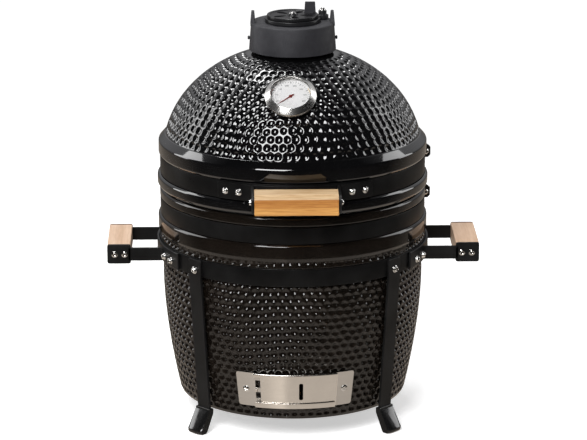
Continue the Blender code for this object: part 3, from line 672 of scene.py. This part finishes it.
def front_handle():
    low, high = 0.366, 0.39
    middle = (low + high) / 2
    profile = fillet([(0.1974, high), (0.2002, high), (0.2002, low), (0.1974, low)], 0.0007, True, 4)
    show("handle_strip", swept("handle_strip", profile, 60, -33.6, 33.6), BAND_STEEL, "lid",
         ["front_handle_bracket"], bevel=0.0012, angle=60)
    ear = fillet([(-0.189, low), (-0.2545, low - 0.0012, 0.004), (-0.2578, low + 0.0045, 0.006),
                  (-0.2578, high - 0.0045, 0.006), (-0.2545, high + 0.0003, 0.004), (-0.189, high)],
                 0.001, True, 5)
    for side, label in SIDES:
        a, b = sorted((side * 0.06, side * 0.0636))
        show("handle_ear_" + label, slab("ear", ear, a, b), STEEL, "lid", bevel=0.0006)
        for degrees, which in ((23.9, "inner"), (30.0, "outer")):
            out = polar(1, side * degrees, 0)
            bolt(f"handle_bolt_{label}_{which}", "lid", polar(0.2004, side * degrees, middle), out, 0.0025,
                 0.0056, 0.005, 0.0036, nodes=[f"bracket_bolt_{label}_{which}"])
    grip = fillet([(-0.2235, 0.3632, 0.002), (-0.259, 0.3632, 0.002), (-0.2598, 0.364, 0.001),
                   (-0.2598, 0.3862, 0.0016), (-0.2532, 0.3928, 0.0016), (-0.2245, 0.3928, 0.002),
                   (-0.2235, 0.392, 0.001)], 0.0015, True, 4)
    show("front_grip_bamboo", slab("grip", grip, -0.0594, 0.0594), BAMBOO, "lid",
         ["front_grip"], bevel=0.0008)
    bolt("front_grip_rod", "lid", (0.0639, -0.241, middle), (1, 0, 0), 0.0025, 0.1278, 0.0048, 0.0028, 0.0028,
         ["front_grip_bolt"])


# ---------------------------------------------------------------- cradle
def ribbon(path, thickness):
    """Outline of a flat bar bent along a path of (r, z), as (y, z) with the front at -Y."""
    sides = ([], [])
    for i, (r, z) in enumerate(path):
        before = Vector(path[i]) - Vector(path[i - 1]) if i else None
        after = Vector(path[i + 1]) - Vector(path[i]) if i + 1 < len(path) else None
        directions = [d.normalized() for d in (before, after) if d]
        along = sum(directions, Vector((0, 0))).normalized()
        reach = thickness / 2 / max(0.3, along.dot(directions[0]))
        normal = Vector((along.y, -along.x)) * reach
        sides[0].append((-(r + normal.x), z + normal.y))
        sides[1].append((-(r - normal.x), z - normal.y))
    return sides[0] + sides[1][::-1]


def legs():
    path = fillet([(0.2003, 0.2658), (0.2003, 0.239, 0.02), (0.184, 0.031, 0.012), (0.2003, 0.0078)],
                  0.01, arc=8)
    outline = ribbon(path, 0.0038)
    # the sleeve's outline runs round the bent end of the leg, and is flat where it stands
    sleeve = fillet([(-0.1797, 0.036, 0.0008), (-0.1887, 0.0362, 0.0012), (-0.1884, 0.0338, 0.004),
                     (-0.205, 0.0102, 0.012), (-0.2077, 0.0062, 0.0025), (-0.2075, 0.002, 0.0015),
                     (-0.2057, 0.0, 0.0012), (-0.1945, 0.0, 0.002), (-0.1918, 0.0034, 0.004),
                     (-0.1798, 0.0285, 0.008)], 0.004, True, 6)
    for label, degrees in LEG_TURNS.items():
        place = turn(degrees)
        show("leg_bar_" + label, slab("leg", outline, -0.0124, 0.0124), STEEL, "base", ["leg_" + label],
             place, bevel=0.0007)
        show("foot_cover_" + label, foot_mesh(sleeve), VINYL, "base", ["foot_sleeve_" + label], place,
             bevel=0.002, segments=4)
        bolt("leg_screw_" + label, "base", polar(0.2024, degrees, 0.25), polar(1, degrees, 0), 0.003, 0.009,
             0.0055, 0.0042, nodes=["leg_bolt_" + label])


def foot_mesh(outline):
    """The sleeve's block, its front end drawn in to a rounded toe."""
    half = 0.0144
    places = (-0.0132, -0.0108, -0.006, 0.006, 0.0108, 0.0132)
    mesh = sliced(slab("foot", outline, -half, half), places, Vector((1, 0, 0)))
    for v in mesh.vertices:
        if v.co.y < -0.199:
            v.co.y += 0.0034 * (abs(v.co.x) / half) ** 4
    return mesh


def cradle():
    section = fillet([(0.1946, 0.2663), (0.1979, 0.2663), (0.1979, 0.2401), (0.1946, 0.2401)], 0.0007,
                     True, 4)
    for label, middle in (("front", 0), ("rear", 180)):
        show("cradle_band_" + label, swept("ring", section, 150, middle - 87.5, middle + 87.5), BAND_STEEL,
             "base", ["cradle_ring_" + label])
    strap = fillet([(0.1985, 0.2654), (0.2019, 0.2654), (0.2019, 0.2406), (0.1985, 0.2406)], 0.0009, True, 4)
    plate = fillet([(0.2401, 0.2361), (0.2401, 0.2654), (0.2749, 0.2654), (0.2749, 0.2361)], 0.0036, True, 6)
    for side, label in SIDES:
        body_mesh = swept("strap", strap, 60, side * 90 - 32.5, side * 90 + 32.5)
        show("side_strap_" + label, body_mesh, STEEL, "base", ["side_bracket_" + label],
             bevel=0.003, angle=60)
        for end, where in ENDS:
            near, far = sorted((end * 0.0543, end * 0.0581))
            a, b = sorted((side * 0.193, side * 0.244))
            show(f"side_arm_{label}_{where}", block("arm", (a, near, 0.2406), (b, far, 0.2604)), STEEL,
                 "base", bevel=0.0006)
            outline = [(side * x, z) for x, z in plate]
            standing = slab("plate", outline, near, far)
            show(f"side_plate_{label}_{where}", standing, STEEL, "base", (), SWAP_XY, bevel=0.0006)
            for degrees, nth in ((63.0, "outer"), (70.0, "inner")):
                at = side * (degrees if end < 0 else 180 - degrees)
                own = [f"ring_bolt_{where}_{label}"] if nth == "outer" else None
                bolt(f"strap_bolt_{label}_{where}_{nth}", "base", polar(0.2021, at, RING_BOLT_Z),
                     polar(1, at, 0), 0.0025, 0.0084, 0.0054, 0.005, nodes=own)
        a, b = sorted((side * 0.2403, side * 0.2746))
        show("side_grip_wood_" + label, block("grip", (a, -0.0537, 0.2364), (b, 0.0537, 0.2655)), PALE,
             "base", ["side_grip_" + label], bevel=0.0014)
        for x, which in ((0.2494, "inner"), (0.264, "outer")):
            bolt(f"grip_rod_{label}_{which}", "base", (side * x, -0.0584, GRIP_BOLT_Z), (0, -1, 0), 0.0025,
                 0.1168, 0.0048, 0.003, 0.003, [f"side_grip_bolt_{label}_{which}"])


# ---------------------------------------------------------------- draft door
def cone_strip(name, low, high, near, far, start, end, steps):
    """A curved sheet that follows the tapered wall between two heights and two angles."""
    profile = [(wall_r(high, near), high), (wall_r(high, far), high), (wall_r(low, far), low),
               (wall_r(low, near), low)]
    return swept(name, profile, steps, start, end)


def on_cone(mesh):
    """Bends a flat sheet drawn as (thickness, along, height) round the tapered wall."""
    co = np.empty(len(mesh.vertices) * 3, np.float32)
    mesh.vertices.foreach_get("co", co)
    out, along, height = co.reshape(-1, 3).T
    angle, r = along / SHEET_R, WALL_R + WALL_SLOPE * (height - WALL_Z) + out
    bent = np.stack([r * np.sin(angle), -r * np.cos(angle), height], -1)
    mesh.vertices.foreach_set("co", bent.astype(np.float32).ravel())
    return mesh


def sheet(name, outline, low, high, pitch=0.0022):
    """A flat plate cut into narrow strips, so that it can be bent smoothly."""
    reach = max(abs(y) for y, _ in outline)
    places = np.arange(-reach + pitch / 2, reach, pitch)
    return sliced(slab(name, outline, low, high), places, Vector((0, 1, 0)))


def draft_frame():
    low, high, rail = DOOR_LOW, DOOR_HIGH, 18.9
    half = math.radians(27.8) * SHEET_R
    flange = fillet([(-half, low + 0.0006), (half, low + 0.0006), (half, high - 0.0006),
                     (-half, high - 0.0006)], 0.0046, True, 8)
    plate = show("draft_plate", on_cone(sheet("plate", flange, 0.0008, 0.002)), FLANGE, "base",
                 ["draft_frame"])
    tools = [block("window", (-0.0395, -0.2, 0.06), (0.0395, -0.15, 0.095))]
    for a, b in ((0.063, 0.073), (0.08, 0.092)):
        notch = [(wall_r(b, 0.004), b), (wall_r(a, 0.004), a), (wall_r(a), a), (wall_r(b), b)]
        tools.append(swept("notch", notch, 2, -18.7, -16.3))
    cut(plate, *tools)
    top = fillet([(wall_r(high, 0.0018), high), (wall_r(high, 0.0068), high, 0.0014),
                  (wall_r(0.0985, 0.0068), 0.0985), (wall_r(0.0985, 0.0061), 0.0985),
                  (wall_r(0.1026, 0.0061), 0.1026), (wall_r(0.1026, 0.0018), 0.1026)], 0.0004, True, 4)
    bottom = fillet([(wall_r(0.0504, 0.0018), 0.0504), (wall_r(0.0504, 0.0061), 0.0504),
                     (wall_r(0.0575, 0.0061), 0.0575), (wall_r(0.0575, 0.0068), 0.0575),
                     (wall_r(low, 0.0068), low, 0.0014), (wall_r(low, 0.0018), low)], 0.0004, True, 4)
    show("draft_rail_top", swept("rail", top, 48, -rail, rail), SHEET, "base")
    show("draft_rail_bottom", swept("rail", bottom, 48, -rail, rail), SHEET, "base")
    show("draft_stop", cone_strip("stop", 0.0737, 0.0793, 0.0018, 0.0052, -18.9, -17.6, 4), SHEET,
         "base", bevel=0.0006)
    for side, label in SIDES:
        out = polar(1, side * 23.4, -WALL_SLOPE).normalized()
        screw = fillet([(0, 0.0015, 0), (0.003, 0.0015, 0.001), (0.005, 0.0007, 0.0006), (0.005, 0, 0),
                        (0.002, 0, 0), (0.002, -0.0138, 0), (0, -0.0138, 0)], 0.0004)
        seat = polar(wall_r(DOOR_MIDDLE, 0.0021), side * 23.4, DOOR_MIDDLE)
        place = facing(seat, out) @ turn(side * 24)
        head = show("draft_fixing_" + label, swept("screw", screw, 40, ring=False), BOLT, "base",
                    ["draft_screw_" + label], place)
        cut(head, moved(block("slot", (-0.003, -0.0006, 0.0005), (0.003, 0.0006, 0.003)), place),
            moved(block("slot", (-0.0006, -0.003, 0.0004), (0.0006, 0.003, 0.0031)), place))


def draft_door():
    """The sliding sheet, with a long slot cut through it for a finger pull."""
    first, last = math.radians(-16.0) * SHEET_R, math.radians(19.5) * SHEET_R
    face = fillet([(first, 0.0514), (last, 0.0514), (last, 0.1016), (first, 0.1016)], 0.0012, True, 5)
    door = show("draft_panel", on_cone(sheet("door", face, 0.004, 0.005)), SHEET,
                "draft_door", ["draft_door"])
    slot = fillet([(0.0053, 0.0631), (0.0113, 0.0631), (0.0113, 0.0899), (0.0053, 0.0899)], 0.0028, True, 6)
    tool = slab("slot", slot, -0.2, -0.16)
    tool.transform(SWAP_XY)
    tool.flip_normals()
    cut(door, tool)


# ---------------------------------------------------------------- hinge at the back
def lug(corners):
    """Outline of a hinge ear: the hull of its root's corners and a round end about the pin."""
    angles = [2 * math.pi * i / 40 for i in range(40)]
    circle = [(PIN[0] + 0.0114 * math.cos(a), PIN[1] + 0.0114 * math.sin(a)) for a in angles]
    cloud = sorted([*corners, *circle])
    halves = []
    for run in (cloud, cloud[::-1]):
        chain = []
        for p in run:
            while len(chain) > 1 and cross(chain[-2], chain[-1], p) <= 1e-12:
                chain.pop()
            chain.append(p)
        halves += chain[:-1]
    return halves


def cross(a, b, c):
    return (b[0] - a[0]) * (c[1] - a[1]) - (b[1] - a[1]) * (c[0] - a[0])


def hinge():
    for body, name, node_name, low, high, half, ear_x, corners in (
        ("base", "hinge_base_plate", "hinge_lower_bracket", 0.3045, 0.3272, 13, (0.0245, 0.0275),
         [(0.1985, 0.3052), (0.1985, 0.3264)]),
        ("lid", "hinge_lid_plate", "hinge_upper_bracket", 0.3664, 0.39, 12, (0.018, 0.021),
         [(0.1988, 0.3681), (0.1988, 0.3887)]),
    ):
        profile = fillet([(0.1972, high), (0.2002, high), (0.2002, low), (0.1972, low)], 0.0006, True, 4)
        show(name, swept(name, profile, 30, 180 - half, 180 + half), STEEL, body, [node_name],
             bevel=0.001, angle=60)
        for side, label in SIDES:
            a, b = sorted((side * ear_x[0], side * ear_x[1]))
            show(f"{name}_lug_{label}", slab("lug", lug(corners), a, b), STEEL, body, bevel=0.0005)
            bolt(f"{name}_rivet_{label}", body, polar(0.2003, 180 - side * (half - 2.4), (low + high) / 2),
                 polar(1, 180 - side * (half - 2.4), 0), 0.002, 0.002, 0.0042, 0.0022, washer=False)
    bolt("hinge_rod", "base", (0.0279, *PIN), (1, 0, 0), 0.004, 0.0558, 0.0068, 0.0036, 0.0036, ["hinge_pin"])
    spring()


def tube(name, path, radius, sides=10):
    """A round wire along a path, closed at both ends."""
    path = np.array(path, float)
    ahead = np.gradient(path, axis=0)
    ahead /= np.linalg.norm(ahead, axis=1)[:, None]
    side = np.cross(ahead[0], (0, 0, 1.0) if abs(ahead[0][2]) < 0.9 else (1.0, 0, 0))
    rings = []
    for point, t in zip(path, ahead):
        side = side - t * side.dot(t)
        side /= np.linalg.norm(side)
        other = np.cross(t, side)
        a = np.linspace(0, 2 * math.pi, sides, endpoint=False)
        rings.append(point + radius * (np.cos(a)[:, None] * side + np.sin(a)[:, None] * other))
    points = np.array(rings)
    first, last = np.repeat(path[:1], sides, 0)[None], np.repeat(path[-1:], sides, 0)[None]
    mesh = mesh_of(name, np.concatenate([first, points, last]), wrap_cols=True)
    tidy(mesh, True)
    return mesh


def spring():
    turns, per_turn, radius, half = 5, 24, 0.0074, 0.0135
    points = [(-half, PIN[0] - 0.0168, PIN[1] + radius), (-half, PIN[0] - 0.006, PIN[1] + radius)]
    for i in range(turns * per_turn + 1):
        a = math.pi / 2 + 2 * math.pi * i / per_turn
        x = -half + 2 * half * i / (turns * per_turn)
        points.append((x, PIN[0] + radius * math.cos(a), PIN[1] + radius * math.sin(a)))
    points += [(half, PIN[0] - 0.006, PIN[1] + radius + 0.0004),
               (half, PIN[0] - 0.0168, PIN[1] + radius + 0.0015)]
    show("hinge_coil", tube("coil", points, 0.0011), WIRE, "base", ["hinge_spring"])


# ---------------------------------------------------------------- thermometer
def thermometer():
    tilt = math.radians(GAUGE_TILT)
    level = polar(math.cos(tilt), GAUGE_TURN, 0)
    place = facing(polar(GAUGE_R, GAUGE_TURN, GAUGE_Z), (level.x, level.y, math.sin(tilt)))
    case = fillet([(0, 0.0022, 0), (0.033, 0.0022, 0), (0.033, 0.0096, 0), (0.0284, 0.0124, 0.0004),
                   (0.0288, 0.0137, 0.0006), (0.0371, 0.007, 0.0008), (0.0375, 0.0044, 0.0008),
                   (0.0352, 0.0007, 0.0008), (0.006, 0.0007, 0), (0.006, -0.029, 0.001), (0.0028, -0.03, 0),
                   (0.0028, -0.088, 0.002), (0, -0.0905, 0)], 0.0005, arc=5)
    show("gauge_case", swept("case", case, 120, ring=False), BEZEL, "lid", ["thermometer_case"], place)
    dial = swept("dial", [(0.0324, 0.0034), (0.0324, 0.0026), (0.002, 0.0026), (0.002, 0.0034)], 96)
    show("gauge_dial", dial, DIAL, "lid", ["thermometer_dial"], place)
    lens = swept("lens", fillet([(0, 0.0088), (0.0322, 0.0088), (0.0322, 0.0072), (0, 0.0072)], 0.0003),
                 96, ring=False)
    show("gauge_lens", lens, GLASS, "lid", ["thermometer_lens"], place)
    dial_marks(place)
    needle_place = place @ turn(GAUGE_REST)
    outline = [(-0.0058, 0.0043), (0.0222, 0.0045), (0.0222, 0.005), (-0.0058, 0.0051)]
    pointer = slab("pointer", outline, -0.0011, 0.0011)
    for v in pointer.vertices:
        v.co.x *= 1 - 0.78 * max(0.0, v.co.y) / 0.0222
    hub = swept("hub", fillet([(0, 0.0054), (0.0025, 0.0054), (0.0025, 0.004), (0.0013, 0.004),
                               (0.0013, 0.0026), (0, 0.0026)], 0.0004), 32, ring=False)
    show("gauge_needle", joined("needle", pointer, hub), RED, "needle", ["thermometer_needle"], needle_place)


def dial_marks(place):
    """Ticks round the scale, three faint zone arcs and a few plain numbers."""
    ticks = []
    for i in range(33):
        long = i % 4 == 0
        a = turn(GAUGE_REST - i * 8.0)
        wide, inner = (0.00035, 0.0242) if long else (0.00022, 0.0256)
        ticks.append(moved(block("tick", (-wide, inner, 0.00338), (wide, 0.0278, 0.00352)), a))
    show("gauge_ticks", joined("ticks", *ticks), INK, "lid", (), place)
    zones = (("cool", (0.3, 0.42, 0.62), 10, 26), ("warm", (0.75, 0.52, 0.2), 30, 70),
             ("hot", (0.62, 0.1, 0.07), 190, 246))
    for label, colour, first, last in zones:
        profile = [(0.0292, 0.0035), (0.0292, 0.00338), (0.0283, 0.00338), (0.0283, 0.0035)]
        arc = swept("zone", profile, 24, -(GAUGE_REST - first) + 180, -(GAUGE_REST - last) + 180)
        paint = look("zone_" + label, colour, 0.5)
        tree = paint.node_tree
        field = noise(tree, place_of(tree), 800, 3)
        wire_up(paint, Roughness=span(tree, field, 0.4, 0.6, 0.3, 0.7),
                Normal=bump(tree, field, 0.08, 0.0001))
        show("gauge_zone_" + label, arc, paint, "lid", (), place)
    numbers = []
    for i, text in enumerate(("50", "100", "150", "200", "250", "300", "350", "400")):
        numbers.append(number_mesh(text, place, GAUGE_REST - (i + 0.5) * 32.0, 0.0205))
    show("gauge_numbers", joined("numbers", *numbers), INK, "lid", (), place)


def number_mesh(text, place, degrees, radius):
    curve = bpy.data.curves.new("number", "FONT")
    curve.body, curve.size, curve.extrude = text, 0.0036, 0.00004
    curve.align_x, curve.align_y = "CENTER", "CENTER"
    holder = bpy.data.objects.new("number", curve)
    scene.collection.objects.link(holder)
    bpy.context.view_layer.update()
    mesh = bpy.data.meshes.new_from_object(holder.evaluated_get(bpy.context.evaluated_depsgraph_get()))
    bpy.data.objects.remove(holder)
    a = math.radians(degrees)
    mesh.transform(Matrix.Translation((-radius * math.sin(a), radius * math.cos(a), 0.00345)))
    mesh.materials.clear()
    return mesh


# ---------------------------------------------------------------- damper on the neck
def damper():
    cap = fillet([(0.061, 0.5877, 0.002), (0.064, 0.5468, 0.0012), (0.0573, 0.5468), (0.0573, 0.5764),
                  (0.03, 0.5764), (0.03, 0.5877)], 0.0008, True, 5)
    show("cap_body", swept("cap", cap, 144), IRON, "lid", ["vent_cap"])
    for side, label in SIDES:
        show("cap_ear_" + label, ear_mesh(side), IRON, "lid", bevel=0.0009)
        bolt("cap_screw_" + label, "lid", (side * 0.0634, 0, 0.564), (side, 0, 0), 0.0022, 0.005, 0.0036,
             0.0026, material=IRON, washer=False)
    bolt("damper_pivot", "lid", (*PIVOT, 0.6006), (0, 0, 1), 0.0021, 0.02, 0.005, 0.0034,
         nodes=["vent_pivot_screw"])
    plate = swept("plate", fillet([(0, 0.5937, 0), (0.0409, 0.5937), (0.0409, 0.5884), (0, 0.5884, 0)],
                                  0.001), 96, ring=False)
    eye = swept("eye", fillet([(0.0027, 0.6003), (0.0061, 0.6003), (0.0061, 0.5948, 0.0004), (0.0089, 0.5937),
                               (0.0089, 0.5884), (0.0027, 0.5884)], 0.0007, True), 40)
    plate_obj = show("damper_plate_iron", plate, PLATE, "damper_plate", ["vent_slide_plate"])
    bore = swept("bore", [(0, 0.6), (0.0046, 0.6), (0.0046, 0.58), (0, 0.58)], 24, ring=False)
    cut(plate_obj, *petals(), bore)
    show("damper_plate_eye", eye, PLATE, "damper_plate", (), Matrix.Translation((*PIVOT, 0)))
    rim = fillet([(0, 0.5975, 0), (0.0322, 0.5975, 0.0012), (0.0338, 0.5991, 0.001), (0.0377, 0.5991, 0.0016),
                  (0.0377, 0.5943, 0.0006), (0, 0.5943, 0)], 0.0008)
    wheel = show("daisy_disc", swept("wheel", rim, 96, ring=False), PLATE, "daisy_wheel",
                 ["vent_daisy_wheel"])
    cut(wheel, *petals())
    hub = fillet([(0, 0.6001, 0), (0.0066, 0.6001, 0.001), (0.0082, 0.597, 0.0005), (0, 0.597, 0)], 0.0008)
    show("daisy_hub", swept("hub", hub, 40, ring=False), PLATE, "daisy_wheel")
    rivet = fillet([(0, 0.6021, 0), (0.0036, 0.602, 0.0012), (0.0056, 0.6, 0.0003), (0, 0.5996, 0)], 0.0008)
    show("daisy_rivet", swept("rivet", rivet, 28, ring=False), BOLT, "daisy_wheel")
    tab = fillet([(-0.0085, 0.5965, 0), (0.0085, 0.5965, 0), (0.0074, 0.6146, 0.0012),
                  (-0.0074, 0.6146, 0.0012)], 0.001, True, 4)
    show("daisy_tab", slab("tab", tab, -0.002, 0.002), IRON, "daisy_wheel", (),
         Matrix.Translation((0.026, 0.013, 0)) @ turn(90), bevel=0.0007)


def ear_mesh(side):
    outline = fillet([(-0.012, 0.583, 0), (0.012, 0.583, 0), (0.0072, 0.6037, 0.002),
                      (-0.0072, 0.6037, 0.002)], 0.002, True, 4)
    mesh = slab("ear", outline, -0.0039, 0.0039)
    for v in mesh.vertices:
        share = (v.co.z - 0.583) / 0.0207
        v.co.x = v.co.x * (1 - 0.45 * share) + side * 0.0582
    return mesh


def petals():
    """Five long rounded holes, pointed at the middle, for the plate and the wheel."""
    made = []
    for i in range(5):
        outline = []
        for t in np.linspace(0, 2 * math.pi, 22, endpoint=False):
            share = (1 - math.cos(t)) / 2
            outline.append((0.0108 + 0.0195 * share, 0.0064 * math.sin(t) * (0.55 + 0.45 * share)))
        mesh = slab("petal", outline, 0.58, 0.602)
        lay = Matrix(((0, 1, 0, 0), (0, 0, 1, 0), (1, 0, 0, 0), (0, 0, 0, 1)))
        made.append(moved(mesh, turn(26.6 + 36 + i * 72) @ lay))
    return made


# ---------------------------------------------------------------- grates
def grates():
    bars = []
    for i in range(-5, 6):
        x = i * 0.0255
        half = math.sqrt(GRATE_R**2 - x * x)
        bars.append(tube("bar", [(x, y, GRATE_Z) for y in (-half, 0, half)], 0.0021, 12))
    for y in (-0.065, 0.065):
        half = math.sqrt(GRATE_R**2 - y * y)
        bars.append(tube("bar", [(x, y, GRATE_Z - 0.0006) for x in (-half, 0, half)], 0.0019, 12))
    rim, turns = 0.0027, np.linspace(0, -2 * math.pi, 12, endpoint=False)
    circle = [(0.15635 + rim * math.cos(a), 0.3363 + rim * math.sin(a)) for a in turns]
    bars.append(swept("rim", circle, 120))
    show("cooking_grate_wires", joined("wires", *bars), WIRE, "base", ["cooking_grate"])
    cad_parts["charcoal_grate"].data.materials.clear()
    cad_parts["charcoal_grate"].data.materials.append(IRON)


# ---------------------------------------------------------------- studio
def studio():
    bm = bmesh.new()
    bmesh.ops.create_circle(bm, cap_ends=True, segments=96, radius=1.5)
    mesh = bpy.data.meshes.new("floor")
    bm.to_mesh(mesh)
    bm.free()
    floor = bpy.data.objects.new("studio_floor", mesh)
    scene.collection.objects.link(floor)
    floor.location = (0, 0, -0.0004)
    floor.visible_glossy = False
    paper = look("studio_paper", (0.93, 0.93, 0.93), 0.9, Specular_IOR_Level=0.0, Emission_Strength=0.52,
                 Emission_Color=(1, 1, 1, 1))
    tree = paper.node_tree
    field = noise(tree, place_of(tree), 60, 3)
    wire_up(paper, Roughness=span(tree, field, 0.85, 0.95))
    mesh.materials.append(paper)
    surroundings()


def surroundings():
    """The room: white where it is seen, else dim in front, warm below and bright behind the grill."""
    world = scene.world or bpy.data.worlds.new("studio")
    scene.world = world
    world.use_nodes = True
    t = world.node_tree
    t.nodes.clear()
    direction = node(t, "SeparateXYZ", Vector=node(t, "TexCoord").outputs["Generated"])
    x, y, z = (direction.outputs[i] for i in range(3))
    below = ramp(t, span(t, z, 0, 1, -1, 1), [
        (0.0, (0.6, 0.54, 0.48)), (0.22, (0.6, 0.54, 0.48)), (0.3, (0.3, 0.265, 0.23)),
        (0.35, (0.045, 0.04, 0.035)), (0.42, (0.016, 0.015, 0.014)), (0.53, 0.012), (1.0, 0.012)])
    sideways = maths(t, "DIVIDE", x, maths(t, "MULTIPLY", y, -1.0))
    panel = ramp(t, span(t, sideways, 0, 1, -1, 1), [
        (0.0, 0.62), (0.22, 0.62), (0.41, 1.0), (0.425, 0.58), (0.6, 0.6), (1.0, 0.6)])
    front = multiplied(t, 1.0, below, panel)
    front = node(t, "VectorMath", {"operation": "SCALE"}, i0=front, Scale=1.62).outputs[0]
    wall = ramp(t, span(t, z, 0, 1, -1, 1), [
        (0.0, (0.6, 0.52, 0.44)), (0.3, (0.42, 0.36, 0.3)), (0.42, (0.13, 0.115, 0.1)), (0.5, 0.14),
        (0.62, (0.32, 0.32, 0.33)), (0.78, (0.52, 0.52, 0.53)), (0.86, (0.28, 0.28, 0.29)), (1.0, 0.1)])
    behind = span(t, y, 0, 1, -0.05, 0.45)
    room = blended(t, behind, front, wall)
    ray = node(t, "LightPath").outputs["Is Camera Ray"]
    seen = blended(t, ray, room, (1.05, 1.05, 1.05, 1))
    node(t, "OutputWorld", Surface=node(t, "Background", Color=seen, Strength=1.0).outputs[0])


def softbox(name, azimuth, elevation, distance, width, height, power):
    """An area light that faces the grill. Azimuth is round from the front towards +X."""
    light = bpy.data.lights.new(name, "AREA")
    light.shape, light.size, light.size_y, light.energy = "RECTANGLE", width, height, power
    obj = bpy.data.objects.new(name, light)
    scene.collection.objects.link(obj)
    e = math.radians(elevation)
    at = polar(distance * math.cos(e), azimuth, LAMP_AIM_Z + distance * math.sin(e))
    obj.location = at
    obj.rotation_mode = "QUATERNION"
    obj.rotation_quaternion = (at - Vector((0, 0, LAMP_AIM_Z))).to_track_quat("Z", "Y")


def camera():
    data = bpy.data.cameras.new("camera")
    cam = bpy.data.objects.new("camera", data)
    scene.collection.objects.link(cam)
    data.sensor_width, data.lens, data.shift_x = 36.0, 189.0, 0.0016
    data.clip_start, data.clip_end = 0.1, 50
    a, e = math.radians(VIEW_TURN), math.radians(VIEW_DROP)
    back = Vector((math.sin(a) * math.cos(e), -math.cos(a) * math.cos(e), math.sin(e)))
    cam.location = Vector((0, 0, AIM_Z)) + back * VIEW_DISTANCE
    cam.rotation_mode = "QUATERNION"
    cam.rotation_quaternion = back.to_track_quat("Z", "Y")
    scene.camera = cam


dome_shell()
base_shell()
inner_ceramics()
band("upper_clamp", "upper_band", "lid", 0.365, 0.3916)
band("lower_clamp", "lower_band", "base", 0.3032, 0.3278)
front_handle()
legs()
cradle()
draft_frame()
draft_door()
hinge()
thermometer()
damper()
grates()
studio()
for lamp in LAMPS:
    softbox(*lamp)
scene.view_settings.view_transform = "Standard"
camera()
